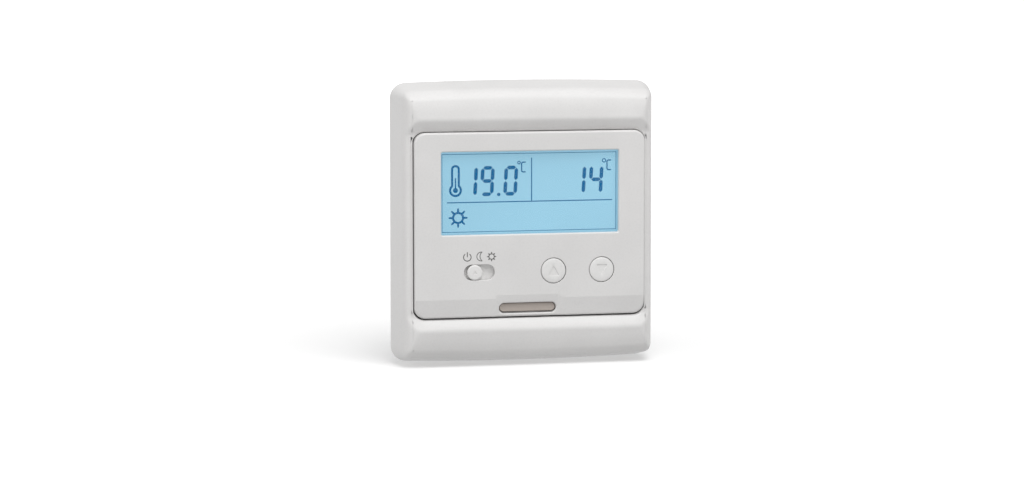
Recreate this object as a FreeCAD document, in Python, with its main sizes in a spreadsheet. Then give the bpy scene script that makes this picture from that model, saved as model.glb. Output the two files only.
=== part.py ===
"""Wall thermostat with a display, as a parametric document of separate pieces.

Frame of the part: X to the right, Z up, the front faces -Y, and the wall's surface is the plane Y = 0.
The origin lies midway between the two wall-box screws. A "level" is a distance in front of the wall's
surface, so a level of 5 is the plane Y = -5, and a negative level lies inside the wall box.
"""

import FreeCAD, Part
import Sketcher
import math
import os
import re

SIZES = {
    # outer frame
    "side_bar": 5.05,
    "ridge_bar": 15.4,
    "frame_bow": 0.8,
    "frame_corner": 5.0,
    "frame_lean": 0.21,
    "frame_wall": 2.0,
    "frame_edge": 1.5,
    "ridge_rounding": 3.0,
    "side_level": 12.9,
    "crest_level": 15.0,
    "fall_width": 6.5,
    "fall_rise": 0.3,
    "shoulder_level": 12.4,
    "crest_gap": 3.5,
    "ridge_foot": 1.0,
    "lead_in": 3.1,
    "cavity_level": 10.4,
    "skirt_wall": 1.5,
    "skirt_level": 1.15,
    "lip_reach": 2.8,
    "lip_back_level": 5.0,
    "lip_front_level": 6.8,
    # front cover
    "cover_width": 74.9,
    "cover_height": 59.2,
    "cover_corner": 3.6,
    "cover_gap": 0.5,
    "cover_level": 14.7,
    "cover_back_level": 7.0,
    "cover_face": 1.6,
    "cover_side": 1.4,
    "cover_edge": 0.7,
    "bend_height": 6.0,
    "bend_drop": 0.85,
    "bend_backing": 1.1,
    # display
    "window_width": 57.75,
    "window_height": 26.45,
    "window_top": 6.175,
    "window_corner": 0.5,
    "lens_margin": 1.5,
    "lens_thick": 0.9,
    "glass_side": 0.625,
    "glass_low": 0.975,
    "glass_high": 2.575,
    "glass_thick": 0.8,
    "glass_ledge": 2.0,
    "glass_play": 0.1,
    "led_length": 1.6,
    "led_height": 3.0,
    "led_rise": 7.0,
    "holder_wall": 1.0,
    "strip_width": 52.0,
    "strip_height": 1.6,
    # control board and its backplate
    "board_margin": 1.05,
    "board_corner": 2.0,
    "board_thick": 1.6,
    "boss_rise": 0.7,
    "backplate_margin": 0.3,
    "backplate_thick": 1.5,
    "backplate_level": 5.2,
    "post_inset": 3.45,
    "post_low": 7.2,
    "post_high": 10.2,
    "post_size": 4.0,
    "small_shank": 2.0,
    "small_head": 3.0,
    "small_head_thick": 1.0,
    "screw_play": 0.3,
    "thread_play": 0.04,
    "small_reach": 3.2,
    "prong_inset": 5.15,
    "prong_z": 15.0,
    "prong_thick": 1.4,
    "prong_width": 5.0,
    "prong_end_level": 0.3,
    "prong_play": 0.3,
    # buttons
    "button_size": 8.0,
    "button_gap": 0.15,
    "button_x": 15.35,
    "button_half_pitch": 7.9,
    "button_z": -15.0,
    "button_crown": 14.95,
    "button_rim": 14.75,
    "button_flange": 1.0,
    "button_flange_thick": 0.8,
    "button_slack": 0.1,
    "button_stem": 3.5,
    "arrow_size": 3.6,
    "arrow_deep": 0.25,
    "tact_size": 6.0,
    "tact_rise": 1.9,
    "tact_rod": 3.0,
    "tact_play": 0.1,
    "tact_proud": 0.6,
    "tact_sunk": 0.6,
    "button_travel": 0.5,
    # mode slider
    "slot_x": -16.65,
    "slot_z": -15.0,
    "slot_length": 10.0,
    "slot_width": 5.0,
    "slider_travel": 3.0,
    "knob_play": 0.05,
    "knob_level": 15.0,
    "knob_flange_height": 6.6,
    "knob_flange_thick": 0.8,
    "knob_mark": 1.4,
    "switch_length": 10.4,
    "switch_height": 5.0,
    "switch_rise": 2.2,
    "actuator_size": 2.0,
    "actuator_play": 0.1,
    "actuator_deep": 0.5,
    "switch_floor": 0.7,
    # release latch
    "latch_x": -0.8,
    "latch_rise": 2.8,
    "latch_slot_length": 18.6,
    "latch_slot_width": 3.35,
    "tongue_play": 0.25,
    "tongue_slit": 0.5,
    "tongue_level": 13.0,
    "latch_flange_thick": 0.9,
    "latch_flange_over": 1.6,
    "latch_leg_width": 8.0,
    "latch_leg_thick": 1.0,
    "latch_leg_level": 3.0,
    "latch_leg_rise": 2.9,
    "latch_notch": 0.5,
    # connector between the front and the base
    "pin_count": 12,
    "pin_pitch": 2.54,
    "pin_size": 0.64,
    "pin_end_level": -0.2,
    "header_height": 2.5,
    "header_level": 4.9,
    "socket_height": 5.0,
    "socket_level": 4.6,
    "socket_hole": 1.0,
    "socket_floor": 0.4,
    "connector_play": 0.4,
    # steel mounting plate
    "plate_inset": 2.45,
    "plate_rim": 5.4,
    "plate_corner": 3.0,
    "plate_thick": 1.0,
    "screw_spacing": 60.0,
    "wall_slot_width": 4.2,
    "wall_slot_length": 7.0,
    "lug_x": 20.0,
    "lug_width": 6.0,
    "lug_thick": 0.8,
    "lug_gap": 0.25,
    "lug_level": 4.7,
    # base housing in the wall box
    "base_size": 48.0,
    "base_chamfer": 12.0,
    "base_wall": 1.6,
    "base_depth": 28.0,
    "base_flange": 1.4,
    "base_flange_thick": 1.2,
    "base_play": 0.25,
    "notch_z": -11.0,
    "notch_level": -13.0,
    "base_cover_thick": 1.4,
    "base_post_x": 20.0,
    "base_post_z": 9.6,
    "base_post": 5.0,
    "base_post_end": -14.0,
    "base_shank": 2.2,
    "base_head": 4.0,
    "base_head_thick": 1.2,
    "base_reach": 6.0,
    "power_level": -1.0,
    "power_margin": 0.4,
    "driver_slot": 0.6,
    "driver_deep": 0.6,
    # terminals
    "terminal_count": 6,
    "terminal_pitch": 5.08,
    "terminal_wall": 1.0,
    "terminal_height": 9.4,
    "terminal_gap": 0.2,
    "entry_width": 3.4,
    "entry_depth": 4.4,
    "entry_height": 7.8,
    "entry_level": -17.6,
    "clamp_play": 0.1,
    "clamp_height": 4.4,
    "clamp_wall": 0.5,
    "driver_hole": 3.6,
    "terminal_shank": 2.0,
    "terminal_head": 3.2,
    "terminal_head_thick": 1.6,
    "terminal_head_level": -24.8,
    "terminal_tip_level": -19.4,
}

DOC = FreeCAD.newDocument("wall_thermostat")
SHEET = DOC.addObject("Spreadsheet::Sheet", "Sizes")
NODES = {}
FRONT = "XZ_Plane"
SIDE = "YZ_Plane"
TOP = "XY_Plane"
V = FreeCAD.Vector
FACING_FRONT = FreeCAD.Rotation(V(1, 0, 0), 90)
FACING_RIGHT = FreeCAD.Rotation(V(0, 1, 0), 90)


# The sheet and its formulas

def fill_sheet():
    """Writes every driving dimension into its own cell, with its name as the alias."""
    for row, (name, size) in enumerate(SIZES.items(), start=1):
        SHEET.set("A%d" % row, name)
        SHEET.set("B%d" % row, str(size))
        SHEET.setAlias("B%d" % row, name)
    DOC.recompute()


def formula(text):
    """A formula of size names, as an expression that reads the sheet."""
    def reference(word):
        name = word.group()
        return "Sizes." + name if name in SIZES else name
    return re.sub(r"[a-z_]+", reference, "(%s)" % text)


def number(text):
    """The present value of a formula."""
    return float(SHEET.evalExpression(formula(text)))


def bind(thing, prop, text):
    """Ties a property of an object to a formula."""
    thing.setExpression(prop, formula(text))


def node(label, thing):
    """Names an object as a sub-part of its own."""
    thing.Label = label
    NODES[label] = thing
    return thing


# Sketches

def fix(sketch, constraint, text):
    """Adds a dimension to a sketch and ties it to a formula."""
    index = sketch.addConstraint(constraint)
    name = "size_%d" % index
    sketch.renameConstraint(index, name)
    bind(sketch, "Constraints." + name, text)


def fix_x(sketch, piece, end, text):
    fix(sketch, Sketcher.Constraint("DistanceX", -1, 1, piece, end, number(text)), text)


def fix_y(sketch, piece, end, text):
    fix(sketch, Sketcher.Constraint("DistanceY", -1, 1, piece, end, number(text)), text)


def new_sketch(body, plane, level="0"):
    """A sketch on one of the body's own planes, moved along the plane's normal by a level."""
    sketch = body.newObject("Sketcher::SketchObject", body.Name + "_sketch")
    planes = {feature.Role: feature for feature in body.Origin.OriginFeatures}
    sketch.AttachmentSupport = [(planes[plane], "")]
    sketch.MapMode = "FlatFace"
    bind(sketch, "AttachmentOffset.Base.z", level)
    return sketch


def draw_circle(sketch, x, z, size):
    """A circle by its centre and diameter."""
    circle = Part.Circle(V(number(x), number(z), 0), V(0, 0, 1), number(size) / 2)
    index = sketch.addGeometry(circle)
    fix(sketch, Sketcher.Constraint("Diameter", index, number(size)), size)
    fix_x(sketch, index, 3, x)
    fix_y(sketch, index, 3, z)


def draw_polygon(sketch, points):
    """A closed outline of straight lines through points given as formulas."""
    corners = [V(number(x), number(z), 0) for x, z in points]
    lines = []
    for start, end in zip(corners, corners[1:] + corners[:1]):
        lines.append(sketch.addGeometry(Part.LineSegment(start, end)))
    for line, following in zip(lines, lines[1:] + lines[:1]):
        sketch.addConstraint(Sketcher.Constraint("Coincident", line, 2, following, 1))
    for line, (x, z) in zip(lines, points):
        fix_x(sketch, line, 1, x)
        fix_y(sketch, line, 1, z)
    return lines


def draw_rectangle(sketch, x, z, width, height):
    """A rectangle by its centre and size."""
    left, right = "%s - (%s) / 2" % (x, width), "%s + (%s) / 2" % (x, width)
    low, high = "%s - (%s) / 2" % (z, height), "%s + (%s) / 2" % (z, height)
    draw_polygon(sketch, [(left, low), (right, low), (right, high), (left, high)])


def corner_arc(sketch, x, z, radius, start):
    """A quarter arc that starts at an angle in degrees, and its index in the sketch."""
    circle = Part.Circle(V(x, z, 0), V(0, 0, 1), radius)
    first = math.radians(start)
    return sketch.addGeometry(Part.ArcOfCircle(circle, first, first + math.pi / 2))


def draw_rounded(sketch, x, z, width, height, radius):
    """A rectangle with rounded corners, by its centre, size and corner radius."""
    cx, cz = number(x), number(z)
    half_w, half_h, r = number(width) / 2, number(height) / 2, number(radius)
    inner_w, inner_h = half_w - r, half_h - r
    ends = [
        (V(cx - inner_w, cz - half_h, 0), V(cx + inner_w, cz - half_h, 0)),
        (V(cx + half_w, cz - inner_h, 0), V(cx + half_w, cz + inner_h, 0)),
        (V(cx + inner_w, cz + half_h, 0), V(cx - inner_w, cz + half_h, 0)),
        (V(cx - half_w, cz + inner_h, 0), V(cx - half_w, cz - inner_h, 0)),
    ]
    lines = [sketch.addGeometry(Part.LineSegment(start, end)) for start, end in ends]
    arcs = [
        corner_arc(sketch, cx + inner_w, cz - inner_h, r, -90),
        corner_arc(sketch, cx + inner_w, cz + inner_h, r, 0),
        corner_arc(sketch, cx - inner_w, cz + inner_h, r, 90),
        corner_arc(sketch, cx - inner_w, cz - inner_h, r, 180),
    ]
    join_smoothly(sketch, lines, arcs)
    for line, direction in zip(lines, ("Horizontal", "Vertical") * 2):
        sketch.addConstraint(Sketcher.Constraint(direction, line))
    equal_radii(sketch, arcs, radius)
    fix_y(sketch, lines[0], 1, "%s - (%s) / 2" % (z, height))
    fix_x(sketch, lines[1], 1, "%s + (%s) / 2" % (x, width))
    fix_y(sketch, lines[2], 1, "%s + (%s) / 2" % (z, height))
    fix_x(sketch, lines[3], 1, "%s - (%s) / 2" % (x, width))


def join_smoothly(sketch, sides, arcs):
    """Joins each side to the arc after it and that arc to the next side, all tangent."""
    for side, arc, following in zip(sides, arcs, sides[1:] + sides[:1]):
        sketch.addConstraint(Sketcher.Constraint("Tangent", side, 2, arc, 1))
        sketch.addConstraint(Sketcher.Constraint("Tangent", arc, 2, following, 1))


def equal_radii(sketch, arcs, radius):
    """Gives a group of arcs one radius."""
    for arc, following in zip(arcs, arcs[1:]):
        sketch.addConstraint(Sketcher.Constraint("Equal", arc, following))
    fix(sketch, Sketcher.Constraint("Radius", arcs[0], number(radius)), radius)


def draw_stadium(sketch, x, z, length, width):
    """A level slot with round ends, by its centre, whole length and width."""
    cx, cz, r = number(x), number(z), number(width) / 2
    reach = number(length) / 2 - r
    low = Part.LineSegment(V(cx - reach, cz - r, 0), V(cx + reach, cz - r, 0))
    high = Part.LineSegment(V(cx + reach, cz + r, 0), V(cx - reach, cz + r, 0))
    lines = [sketch.addGeometry(low), sketch.addGeometry(high)]
    right = Part.Circle(V(cx + reach, cz, 0), V(0, 0, 1), r)
    left = Part.Circle(V(cx - reach, cz, 0), V(0, 0, 1), r)
    arcs = [
        sketch.addGeometry(Part.ArcOfCircle(right, -math.pi / 2, math.pi / 2)),
        sketch.addGeometry(Part.ArcOfCircle(left, math.pi / 2, 3 * math.pi / 2)),
    ]
    join_smoothly(sketch, lines, arcs)
    sketch.addConstraint(Sketcher.Constraint("Horizontal", lines[0]))
    sketch.addConstraint(Sketcher.Constraint("Horizontal", lines[1]))
    fix(sketch, Sketcher.Constraint("Radius", arcs[0], r), "(%s) / 2" % width)
    fix_y(sketch, arcs[0], 3, z)
    fix_x(sketch, arcs[0], 3, "%s + (%s - (%s)) / 2" % (x, length, width))
    fix_x(sketch, arcs[1], 3, "%s - (%s - (%s)) / 2" % (x, length, width))


def octagon(half, chamfer):
    """The corners of a square of a half size with its four corners cut off."""
    inner = "(%s) - (%s)" % (half, chamfer)
    minus = "-(%s)" % half
    minus_inner = "-(%s)" % inner
    return [
        (half, minus_inner), (half, inner), (inner, half), (minus_inner, half),
        (minus, inner), (minus, minus_inner), (minus_inner, minus), (inner, minus),
    ]


# Features

def new_body(label):
    return node(label, DOC.addObject("PartDesign::Body", label))


def solid_volume(body):
    DOC.recompute()
    return body.Shape.Volume


def pad(body, sketch, length, backwards=False):
    """Adds material from a sketch's level towards the front, or backwards into the wall."""
    feature = body.newObject("PartDesign::Pad", body.Name + "_pad")
    feature.Profile = (sketch, [""])
    feature.Reversed = backwards
    bind(feature, "Length", length)
    DOC.recompute()
    return feature


def pocket(body, sketch, length=None, forwards=False, across=False):
    """Cuts from a sketch's level towards the wall, forwards, or right across the body."""
    before = solid_volume(body)
    feature = body.newObject("PartDesign::Pocket", body.Name + "_pocket")
    feature.Profile = (sketch, [""])
    feature.Reversed = forwards
    if across:
        feature.SideType = "Symmetric"
    if length is None:
        feature.Type = "ThroughAll"
    else:
        bind(feature, "Length", length)
    if solid_volume(body) >= before:
        raise RuntimeError("a pocket of %s cuts nothing" % body.Label)
    return feature


def row_along_x(body, feature, pitch, count):
    """Repeats a feature in a row towards the right."""
    pattern = body.newObject("PartDesign::LinearPattern", body.Name + "_row")
    pattern.Originals = [feature]
    axes = {part.Role: part for part in body.Origin.OriginFeatures}
    pattern.Direction = (axes["X_Axis"], [""])
    bind(pattern, "Length", "(%s - 1) * %s" % (count, pitch))
    bind(pattern, "Occurrences", count)
    body.Tip = pattern
    DOC.recompute()
    return pattern


def round_edges(body, radius, chosen):
    """Rounds the edges of the body's tip that a test picks."""
    base = body.Tip
    names = ["Edge%d" % index for index, edge in enumerate(base.Shape.Edges, start=1) if chosen(edge)]
    feature = body.newObject("PartDesign::Fillet", body.Name + "_rounding")
    feature.Base = (base, names)
    bind(feature, "Radius", radius)
    DOC.recompute()
    return feature


def place(thing, x="0", y="0", z="0"):
    """Ties an object's position to formulas."""
    bind(thing, "Placement.Base.x", x)
    bind(thing, "Placement.Base.y", y)
    bind(thing, "Placement.Base.z", z)


def box(x, z, width, height, back, front):
    """A box centred at x and z, between two levels."""
    thing = DOC.addObject("Part::Box", "box")
    bind(thing, "Length", width)
    bind(thing, "Width", "(%s) - (%s)" % (front, back))
    bind(thing, "Height", height)
    place(thing, "%s - (%s) / 2" % (x, width), "-(%s)" % front, "%s - (%s) / 2" % (z, height))
    return thing


def rod(x, z, size, back, front):
    """A cylinder along Y between two levels."""
    thing = DOC.addObject("Part::Cylinder", "rod")
    bind(thing, "Radius", "(%s) / 2" % size)
    bind(thing, "Height", "(%s) - (%s)" % (front, back))
    thing.Placement = FreeCAD.Placement(V(), FACING_FRONT)
    place(thing, x, "-(%s)" % back, z)
    return thing


def bar(x, z, level, size, length):
    """A cylinder along X, from its left end."""
    thing = DOC.addObject("Part::Cylinder", "bar")
    bind(thing, "Radius", "(%s) / 2" % size)
    bind(thing, "Height", length)
    thing.Placement = FreeCAD.Placement(V(), FACING_RIGHT)
    place(thing, x, "-(%s)" % level, z)
    return thing


def cut(base, tool):
    thing = DOC.addObject("Part::Cut", "cut")
    thing.Base, thing.Tool = base, tool
    return thing


def joined(pieces):
    thing = DOC.addObject("Part::MultiFuse", "joined")
    thing.Shapes = pieces
    return thing


def group(pieces):
    """Separate solids that share one node."""
    thing = DOC.addObject("Part::Compound", "group")
    thing.Links = pieces
    return thing


def smooth(base, radius, chosen):
    """A primitive with the edges that a test picks rounded."""
    DOC.recompute()
    thing = DOC.addObject("Part::Fillet", "smooth")
    thing.Base = base
    reach = number(radius)
    edges = [index for index, edge in enumerate(base.Shape.Edges, start=1) if chosen(edge)]
    thing.Edges = [(index, reach, reach) for index in edges]
    return thing


def along_y(edge):
    """Whether an edge runs straight towards the wall."""
    start, end = edge.Vertexes[0].Point, edge.Vertexes[-1].Point
    return abs(start.x - end.x) < 1e-6 and abs(start.z - end.z) < 1e-6 and abs(start.y - end.y) > 1e-6


# Levels that several pieces share

BOARD_BACK = "(backplate_level + backplate_thick + boss_rise)"
BOARD_FRONT = "(%s + board_thick)" % BOARD_BACK
FACE_BACK = "(cover_level - cover_face)"
LENS_BACK = "(%s - lens_thick)" % FACE_BACK
FRONT_GLASS_BACK = "(%s - glass_thick)" % LENS_BACK
REAR_GLASS_BACK = "(%s - glass_thick)" % FRONT_GLASS_BACK
POCKET_WIDTH = "(cover_width + 2 * cover_gap)"
POCKET_HEIGHT = "(cover_height + 2 * cover_gap)"
PLATE_WIDTH = "(%s - 2 * plate_inset)" % POCKET_WIDTH
PLATE_HEIGHT = "(%s + 2 * plate_rim)" % POCKET_HEIGHT
FRAME_WIDTH = "(%s + 2 * side_bar)" % POCKET_WIDTH
FRAME_HEIGHT = "(%s + 2 * ridge_bar)" % POCKET_HEIGHT
FRONT_EDGE_X = "(%s / 2 - frame_lean * shoulder_level)" % FRAME_WIDTH
FRONT_EDGE_Z = "(%s / 2 - frame_lean * shoulder_level)" % FRAME_HEIGHT
COVER_INNER_WIDTH = "(cover_width - 2 * cover_side)"
COVER_INNER_HEIGHT = "(cover_height - 2 * cover_side)"
LIP_WIDTH = "(%s - 2 * lip_reach)" % POCKET_WIDTH
LIP_HEIGHT = "(%s - 2 * lip_reach)" % POCKET_HEIGHT
WINDOW_Z = "(cover_height / 2 - window_top - window_height / 2)"
GLASS_WIDTH = "(window_width + 2 * glass_side)"
GLASS_HEIGHT = "(window_height + glass_low + glass_high)"
GLASS_Z = "(%s + (glass_high - glass_low) / 2)" % WINDOW_Z
POST_X = "(%s / 2 - post_inset)" % COVER_INNER_WIDTH
POST_LOW_Z = "(%s / 2 - post_low)" % COVER_INNER_HEIGHT
POST_HIGH_Z = "(%s / 2 - post_high)" % COVER_INNER_HEIGHT
PRONG_X = "(%s / 2 - prong_inset)" % LIP_WIDTH
FLANGE_SIZE = "(button_size + 2 * button_flange)"
KNOB_REST_X = "(slot_x - slider_travel / 2)"
KNOB_SIZE = "(slot_width - 2 * knob_play)"
LATCH_Z = "(latch_rise - cover_height / 2)"
LATCH_LEG_Z = "(latch_leg_rise - cover_height / 2)"
BEND_Z = "(-cover_height / 2 + bend_height)"
BEND_BACK = "(%s - bend_backing)" % FACE_BACK
BOW_RADIUS = "((%s ^ 2 / 4 + frame_bow ^ 2) / (2 * frame_bow))" % FRAME_WIDTH
FALL_TOP = "(crest_level + fall_rise)"
FALL_RADIUS = "((fall_width ^ 2 + (%s - shoulder_level) ^ 2) / (2 * (%s - shoulder_level)))" % (FALL_TOP, FALL_TOP)
HEADER_LENGTH = "(pin_count * pin_pitch)"
BASE_FRONT = "(plate_thick + base_flange_thick)"
BASE_COVER_FRONT = "(%s + base_cover_thick)" % BASE_FRONT
POWER_BACK = "(power_level - board_thick)"
INNER_HALF = "(base_size / 2 - base_wall)"
INNER_CHAMFER = "(base_chamfer - base_wall * (2 - sqrt(2)))"
TERMINAL_TOP = "(notch_z - terminal_gap)"
TERMINAL_FRONT = "(notch_level - terminal_gap)"
TERMINAL_WIDTH = "(terminal_count * terminal_pitch + terminal_wall)"
SCREW_Z = "(%s - entry_height - terminal_wall + clamp_height + clamp_play)" % TERMINAL_TOP
POSTS = [
    ("-" + POST_X, POST_HIGH_Z), (POST_X, POST_HIGH_Z),
    ("-" + POST_X, "-" + POST_LOW_Z), (POST_X, "-" + POST_LOW_Z),
]
BASE_POSTS = [
    ("-base_post_x", "base_post_z"), ("base_post_x", "base_post_z"),
    ("-base_post_x", "-base_post_z"), ("base_post_x", "-base_post_z"),
]


# Outer frame

def bowed_outline():
    """Radius and centre height of the bowed edges, centre of a corner arc, and its angle in radians."""
    big, small = number(BOW_RADIUS), number("frame_corner")
    centre = number(FRAME_HEIGHT) / 2 - big
    corner_x = number(FRAME_WIDTH) / 2 - small
    corner_z = centre + math.sqrt((big - small) ** 2 - corner_x ** 2)
    return big, centre, corner_x, corner_z, math.atan2(corner_z - centre, corner_x)


def draw_bowed_outline(sketch):
    """The frame's outline: straight sides, bowed top and bottom, and rounded corners."""
    big, centre, corner_x, corner_z, lean = bowed_outline()
    half_w, small = number(FRAME_WIDTH) / 2, number("frame_corner")
    top_circle = Part.Circle(V(0, centre, 0), V(0, 0, 1), big)
    low_circle = Part.Circle(V(0, -centre, 0), V(0, 0, 1), big)
    right = sketch.addGeometry(Part.LineSegment(V(half_w, -corner_z, 0), V(half_w, corner_z, 0)))
    top = sketch.addGeometry(Part.ArcOfCircle(top_circle, lean, math.pi - lean))
    left = sketch.addGeometry(Part.LineSegment(V(-half_w, corner_z, 0), V(-half_w, -corner_z, 0)))
    low = sketch.addGeometry(Part.ArcOfCircle(low_circle, math.pi + lean, 2 * math.pi - lean))
    spans = [
        (corner_x, corner_z, 0, lean),
        (-corner_x, corner_z, math.pi - lean, math.pi),
        (-corner_x, -corner_z, math.pi, math.pi + lean),
        (corner_x, -corner_z, 2 * math.pi - lean, 2 * math.pi),
    ]
    corners = []
    for x, z, first, last in spans:
        circle = Part.Circle(V(x, z, 0), V(0, 0, 1), small)
        corners.append(sketch.addGeometry(Part.ArcOfCircle(circle, first, last)))
    join_smoothly(sketch, [right, top, left, low], corners)
    sketch.addConstraint(Sketcher.Constraint("Vertical", right))
    sketch.addConstraint(Sketcher.Constraint("Vertical", left))
    equal_radii(sketch, corners, "frame_corner")
    equal_radii(sketch, [top, low], BOW_RADIUS)
    sketch.addConstraint(Sketcher.Constraint("PointOnObject", top, 3, -2))
    sketch.addConstraint(Sketcher.Constraint("PointOnObject", low, 3, -2))
    fix_y(sketch, top, 3, "%s / 2 - %s" % (FRAME_HEIGHT, BOW_RADIUS))
    fix_y(sketch, low, 3, "%s - %s / 2" % (BOW_RADIUS, FRAME_HEIGHT))
    fix_x(sketch, right, 1, "%s / 2" % FRAME_WIDTH)
    fix_x(sketch, left, 1, "-%s / 2" % FRAME_WIDTH)


def front_contour():
    """The region in front of the frame's surface, seen from the side."""
    crest = "(%s / 2 + crest_gap)" % POCKET_HEIGHT
    middle = "(%s + %s) / 2" % (FRONT_EDGE_Z, crest)
    slope = [
        (FRAME_HEIGHT, "shoulder_level - 3"),
        (FRONT_EDGE_Z, "shoulder_level"),
        (middle, "shoulder_level + 0.78 * (crest_level - shoulder_level)"),
        (crest, "crest_level"),
        ("%s / 2 - ridge_foot" % POCKET_HEIGHT, "side_level"),
    ]
    upper = [("-(%s)" % level, z) for z, level in slope]
    lower = [("-(%s)" % level, "-(%s)" % z) for z, level in reversed(slope)]
    front = "-(crest_level + 5)"
    return upper + lower + [(front, "-" + FRAME_HEIGHT), (front, FRAME_HEIGHT)]


def side_fall(body, side):
    """Cuts one side of the frame's front down to the shoulder, along an arc seen from above."""
    radius = number(FALL_RADIUS)
    flat_place = "(%s - fall_width)" % FRONT_EDGE_X
    edge_x, flat_x = number(FRONT_EDGE_X), number(flat_place)
    top, shoulder = number(FALL_TOP), number("shoulder_level")
    lean = math.atan2(shoulder - (top - radius), number("fall_width"))
    sketch = new_sketch(body, TOP)
    centre = V(side * flat_x, radius - top, 0)
    circle = Part.Circle(centre, V(0, 0, 1), radius)
    if side > 0:
        arc = sketch.addGeometry(Part.ArcOfCircle(circle, -math.pi / 2, -lean))
    else:
        arc = sketch.addGeometry(Part.ArcOfCircle(circle, lean - math.pi, -math.pi / 2))
    flat_end, edge_end = (1, 2) if side > 0 else (2, 1)
    outside_x = edge_x + number("fall_width")
    corners = [
        V(side * edge_x, -shoulder, 0), V(side * outside_x, -shoulder, 0),
        V(side * outside_x, -top, 0), V(side * flat_x, -top, 0),
    ]
    lines = []
    for start, end in zip(corners, corners[1:]):
        lines.append(sketch.addGeometry(Part.LineSegment(start, end)))
    ledge, wall, front = lines
    sketch.addConstraint(Sketcher.Constraint("Coincident", arc, edge_end, ledge, 1))
    sketch.addConstraint(Sketcher.Constraint("Coincident", ledge, 2, wall, 1))
    sketch.addConstraint(Sketcher.Constraint("Coincident", wall, 2, front, 1))
    sketch.addConstraint(Sketcher.Constraint("Coincident", front, 2, arc, flat_end))
    sketch.addConstraint(Sketcher.Constraint("Horizontal", ledge))
    sketch.addConstraint(Sketcher.Constraint("Horizontal", front))
    sketch.addConstraint(Sketcher.Constraint("Vertical", wall))
    sign = "" if side > 0 else "-"
    fix(sketch, Sketcher.Constraint("Radius", arc, radius), FALL_RADIUS)
    fix_x(sketch, arc, 3, sign + flat_place)
    fix_x(sketch, arc, flat_end, sign + flat_place)
    fix_x(sketch, arc, edge_end, sign + FRONT_EDGE_X)
    fix_x(sketch, wall, 1, sign + "(%s + fall_width)" % FRONT_EDGE_X)
    fix_y(sketch, arc, 3, "%s - %s" % (FALL_RADIUS, FALL_TOP))
    pocket(body, sketch, across=True)


def outer_frame():
    """The frame round the front cover: low sides and raised, bowed ridges above and below."""
    body = new_body("outer_frame")
    outline = new_sketch(body, FRONT)
    draw_bowed_outline(outline)
    block = pad(body, outline, "crest_level")
    bind(block, "TaperAngle", "-atan(frame_lean)")
    DOC.recompute()
    contour = new_sketch(body, SIDE)
    draw_polygon(contour, front_contour())
    pocket(body, contour, across=True)
    round_edges(body, "ridge_rounding", is_ridge_line)
    for side in (1, -1):
        side_fall(body, side)
    round_edges(body, "frame_edge", is_outer_front_edge)
    lead_in(body)
    window = new_sketch(body, FRONT, "crest_level + 1")
    draw_rounded(window, "0", "0", POCKET_WIDTH, POCKET_HEIGHT, "cover_corner + cover_gap")
    pocket(body, window, "crest_level + 1 - lip_front_level")
    lip = new_sketch(body, FRONT, "crest_level + 1")
    draw_rounded(lip, "0", "0", LIP_WIDTH, LIP_HEIGHT, "cover_corner - 1")
    pocket(body, lip)
    below = new_sketch(body, FRONT)
    draw_rounded(below, "0", "0", POCKET_WIDTH, POCKET_HEIGHT, "cover_corner + cover_gap")
    pocket(body, below, "lip_back_level", forwards=True)
    inner_width = "(%s - 2 * frame_wall)" % FRAME_WIDTH
    inner_height = "(%s - 2 * frame_bow - 2 * frame_wall)" % FRAME_HEIGHT
    cavities = new_sketch(body, FRONT)
    cavity_low = "(%s / 2 + skirt_wall)" % POCKET_HEIGHT
    cavity_high = "(%s / 2 - frame_bow - frame_wall - frame_lean * cavity_level)" % FRAME_HEIGHT
    cavity_width = "(%s - 2 * (frame_wall + frame_lean * cavity_level))" % FRAME_WIDTH
    for side in ("", "-"):
        middle = "%s(%s + %s) / 2" % (side, cavity_low, cavity_high)
        draw_rectangle(cavities, "0", middle, cavity_width, "%s - %s" % (cavity_high, cavity_low))
    pocket(body, cavities, "cavity_level", forwards=True)
    foot = new_sketch(body, FRONT)
    draw_rounded(foot, "0", "0", inner_width, inner_height, "frame_corner - frame_wall")
    pocket(body, foot, "skirt_level", forwards=True)


def is_ridge_line(edge):
    """The straight lines across the frame where its front surface changes slope."""
    start, end = edge.Vertexes[0].Point, edge.Vertexes[-1].Point
    level = -start.y
    across = abs(start.x - end.x) > number(FRAME_WIDTH) / 2
    return across and level > number("shoulder_level") and abs(start.z - end.z) < 1e-6


def is_outer_front_edge(edge):
    """The edges where the frame's front surface meets its outer sides."""
    if along_y(edge) or edge.BoundBox.YMax > -1:
        return False
    big, centre, corner_x, corner_z, _ = bowed_outline()
    for step in range(5):
        share = (step + 0.5) / 5
        point = edge.valueAt(edge.FirstParameter + share * (edge.LastParameter - edge.FirstParameter))
        x, z = abs(point.x), abs(point.z)
        lean = -point.y * number("frame_lean")
        gaps = (
            abs(x - number(FRAME_WIDTH) / 2 + lean),
            abs(math.hypot(x, z - centre) - big + lean),
            abs(math.hypot(x - corner_x, z - corner_z) - number("frame_corner") + lean),
        )
        if min(gaps) > 1e-3:
            return False
    return True


def lead_in(body):
    """The slope with rounded corners that leads down from the ridges to the front cover."""
    low = new_sketch(body, FRONT, "side_level + 0.15")
    draw_rounded(low, "0", "0", POCKET_WIDTH, POCKET_HEIGHT, "cover_corner + cover_gap")
    high = new_sketch(body, FRONT, "crest_level + 0.15")
    draw_rounded(high, "0", "0", "%s + 2 * lead_in" % POCKET_WIDTH, "%s + 2 * lead_in" % POCKET_HEIGHT,
                 "cover_corner + cover_gap + lead_in")
    slope = body.newObject("PartDesign::SubtractiveLoft", "frame_slope")
    slope.Profile = low
    slope.Sections = [high]
    DOC.recompute()


# Front cover and display

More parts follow.
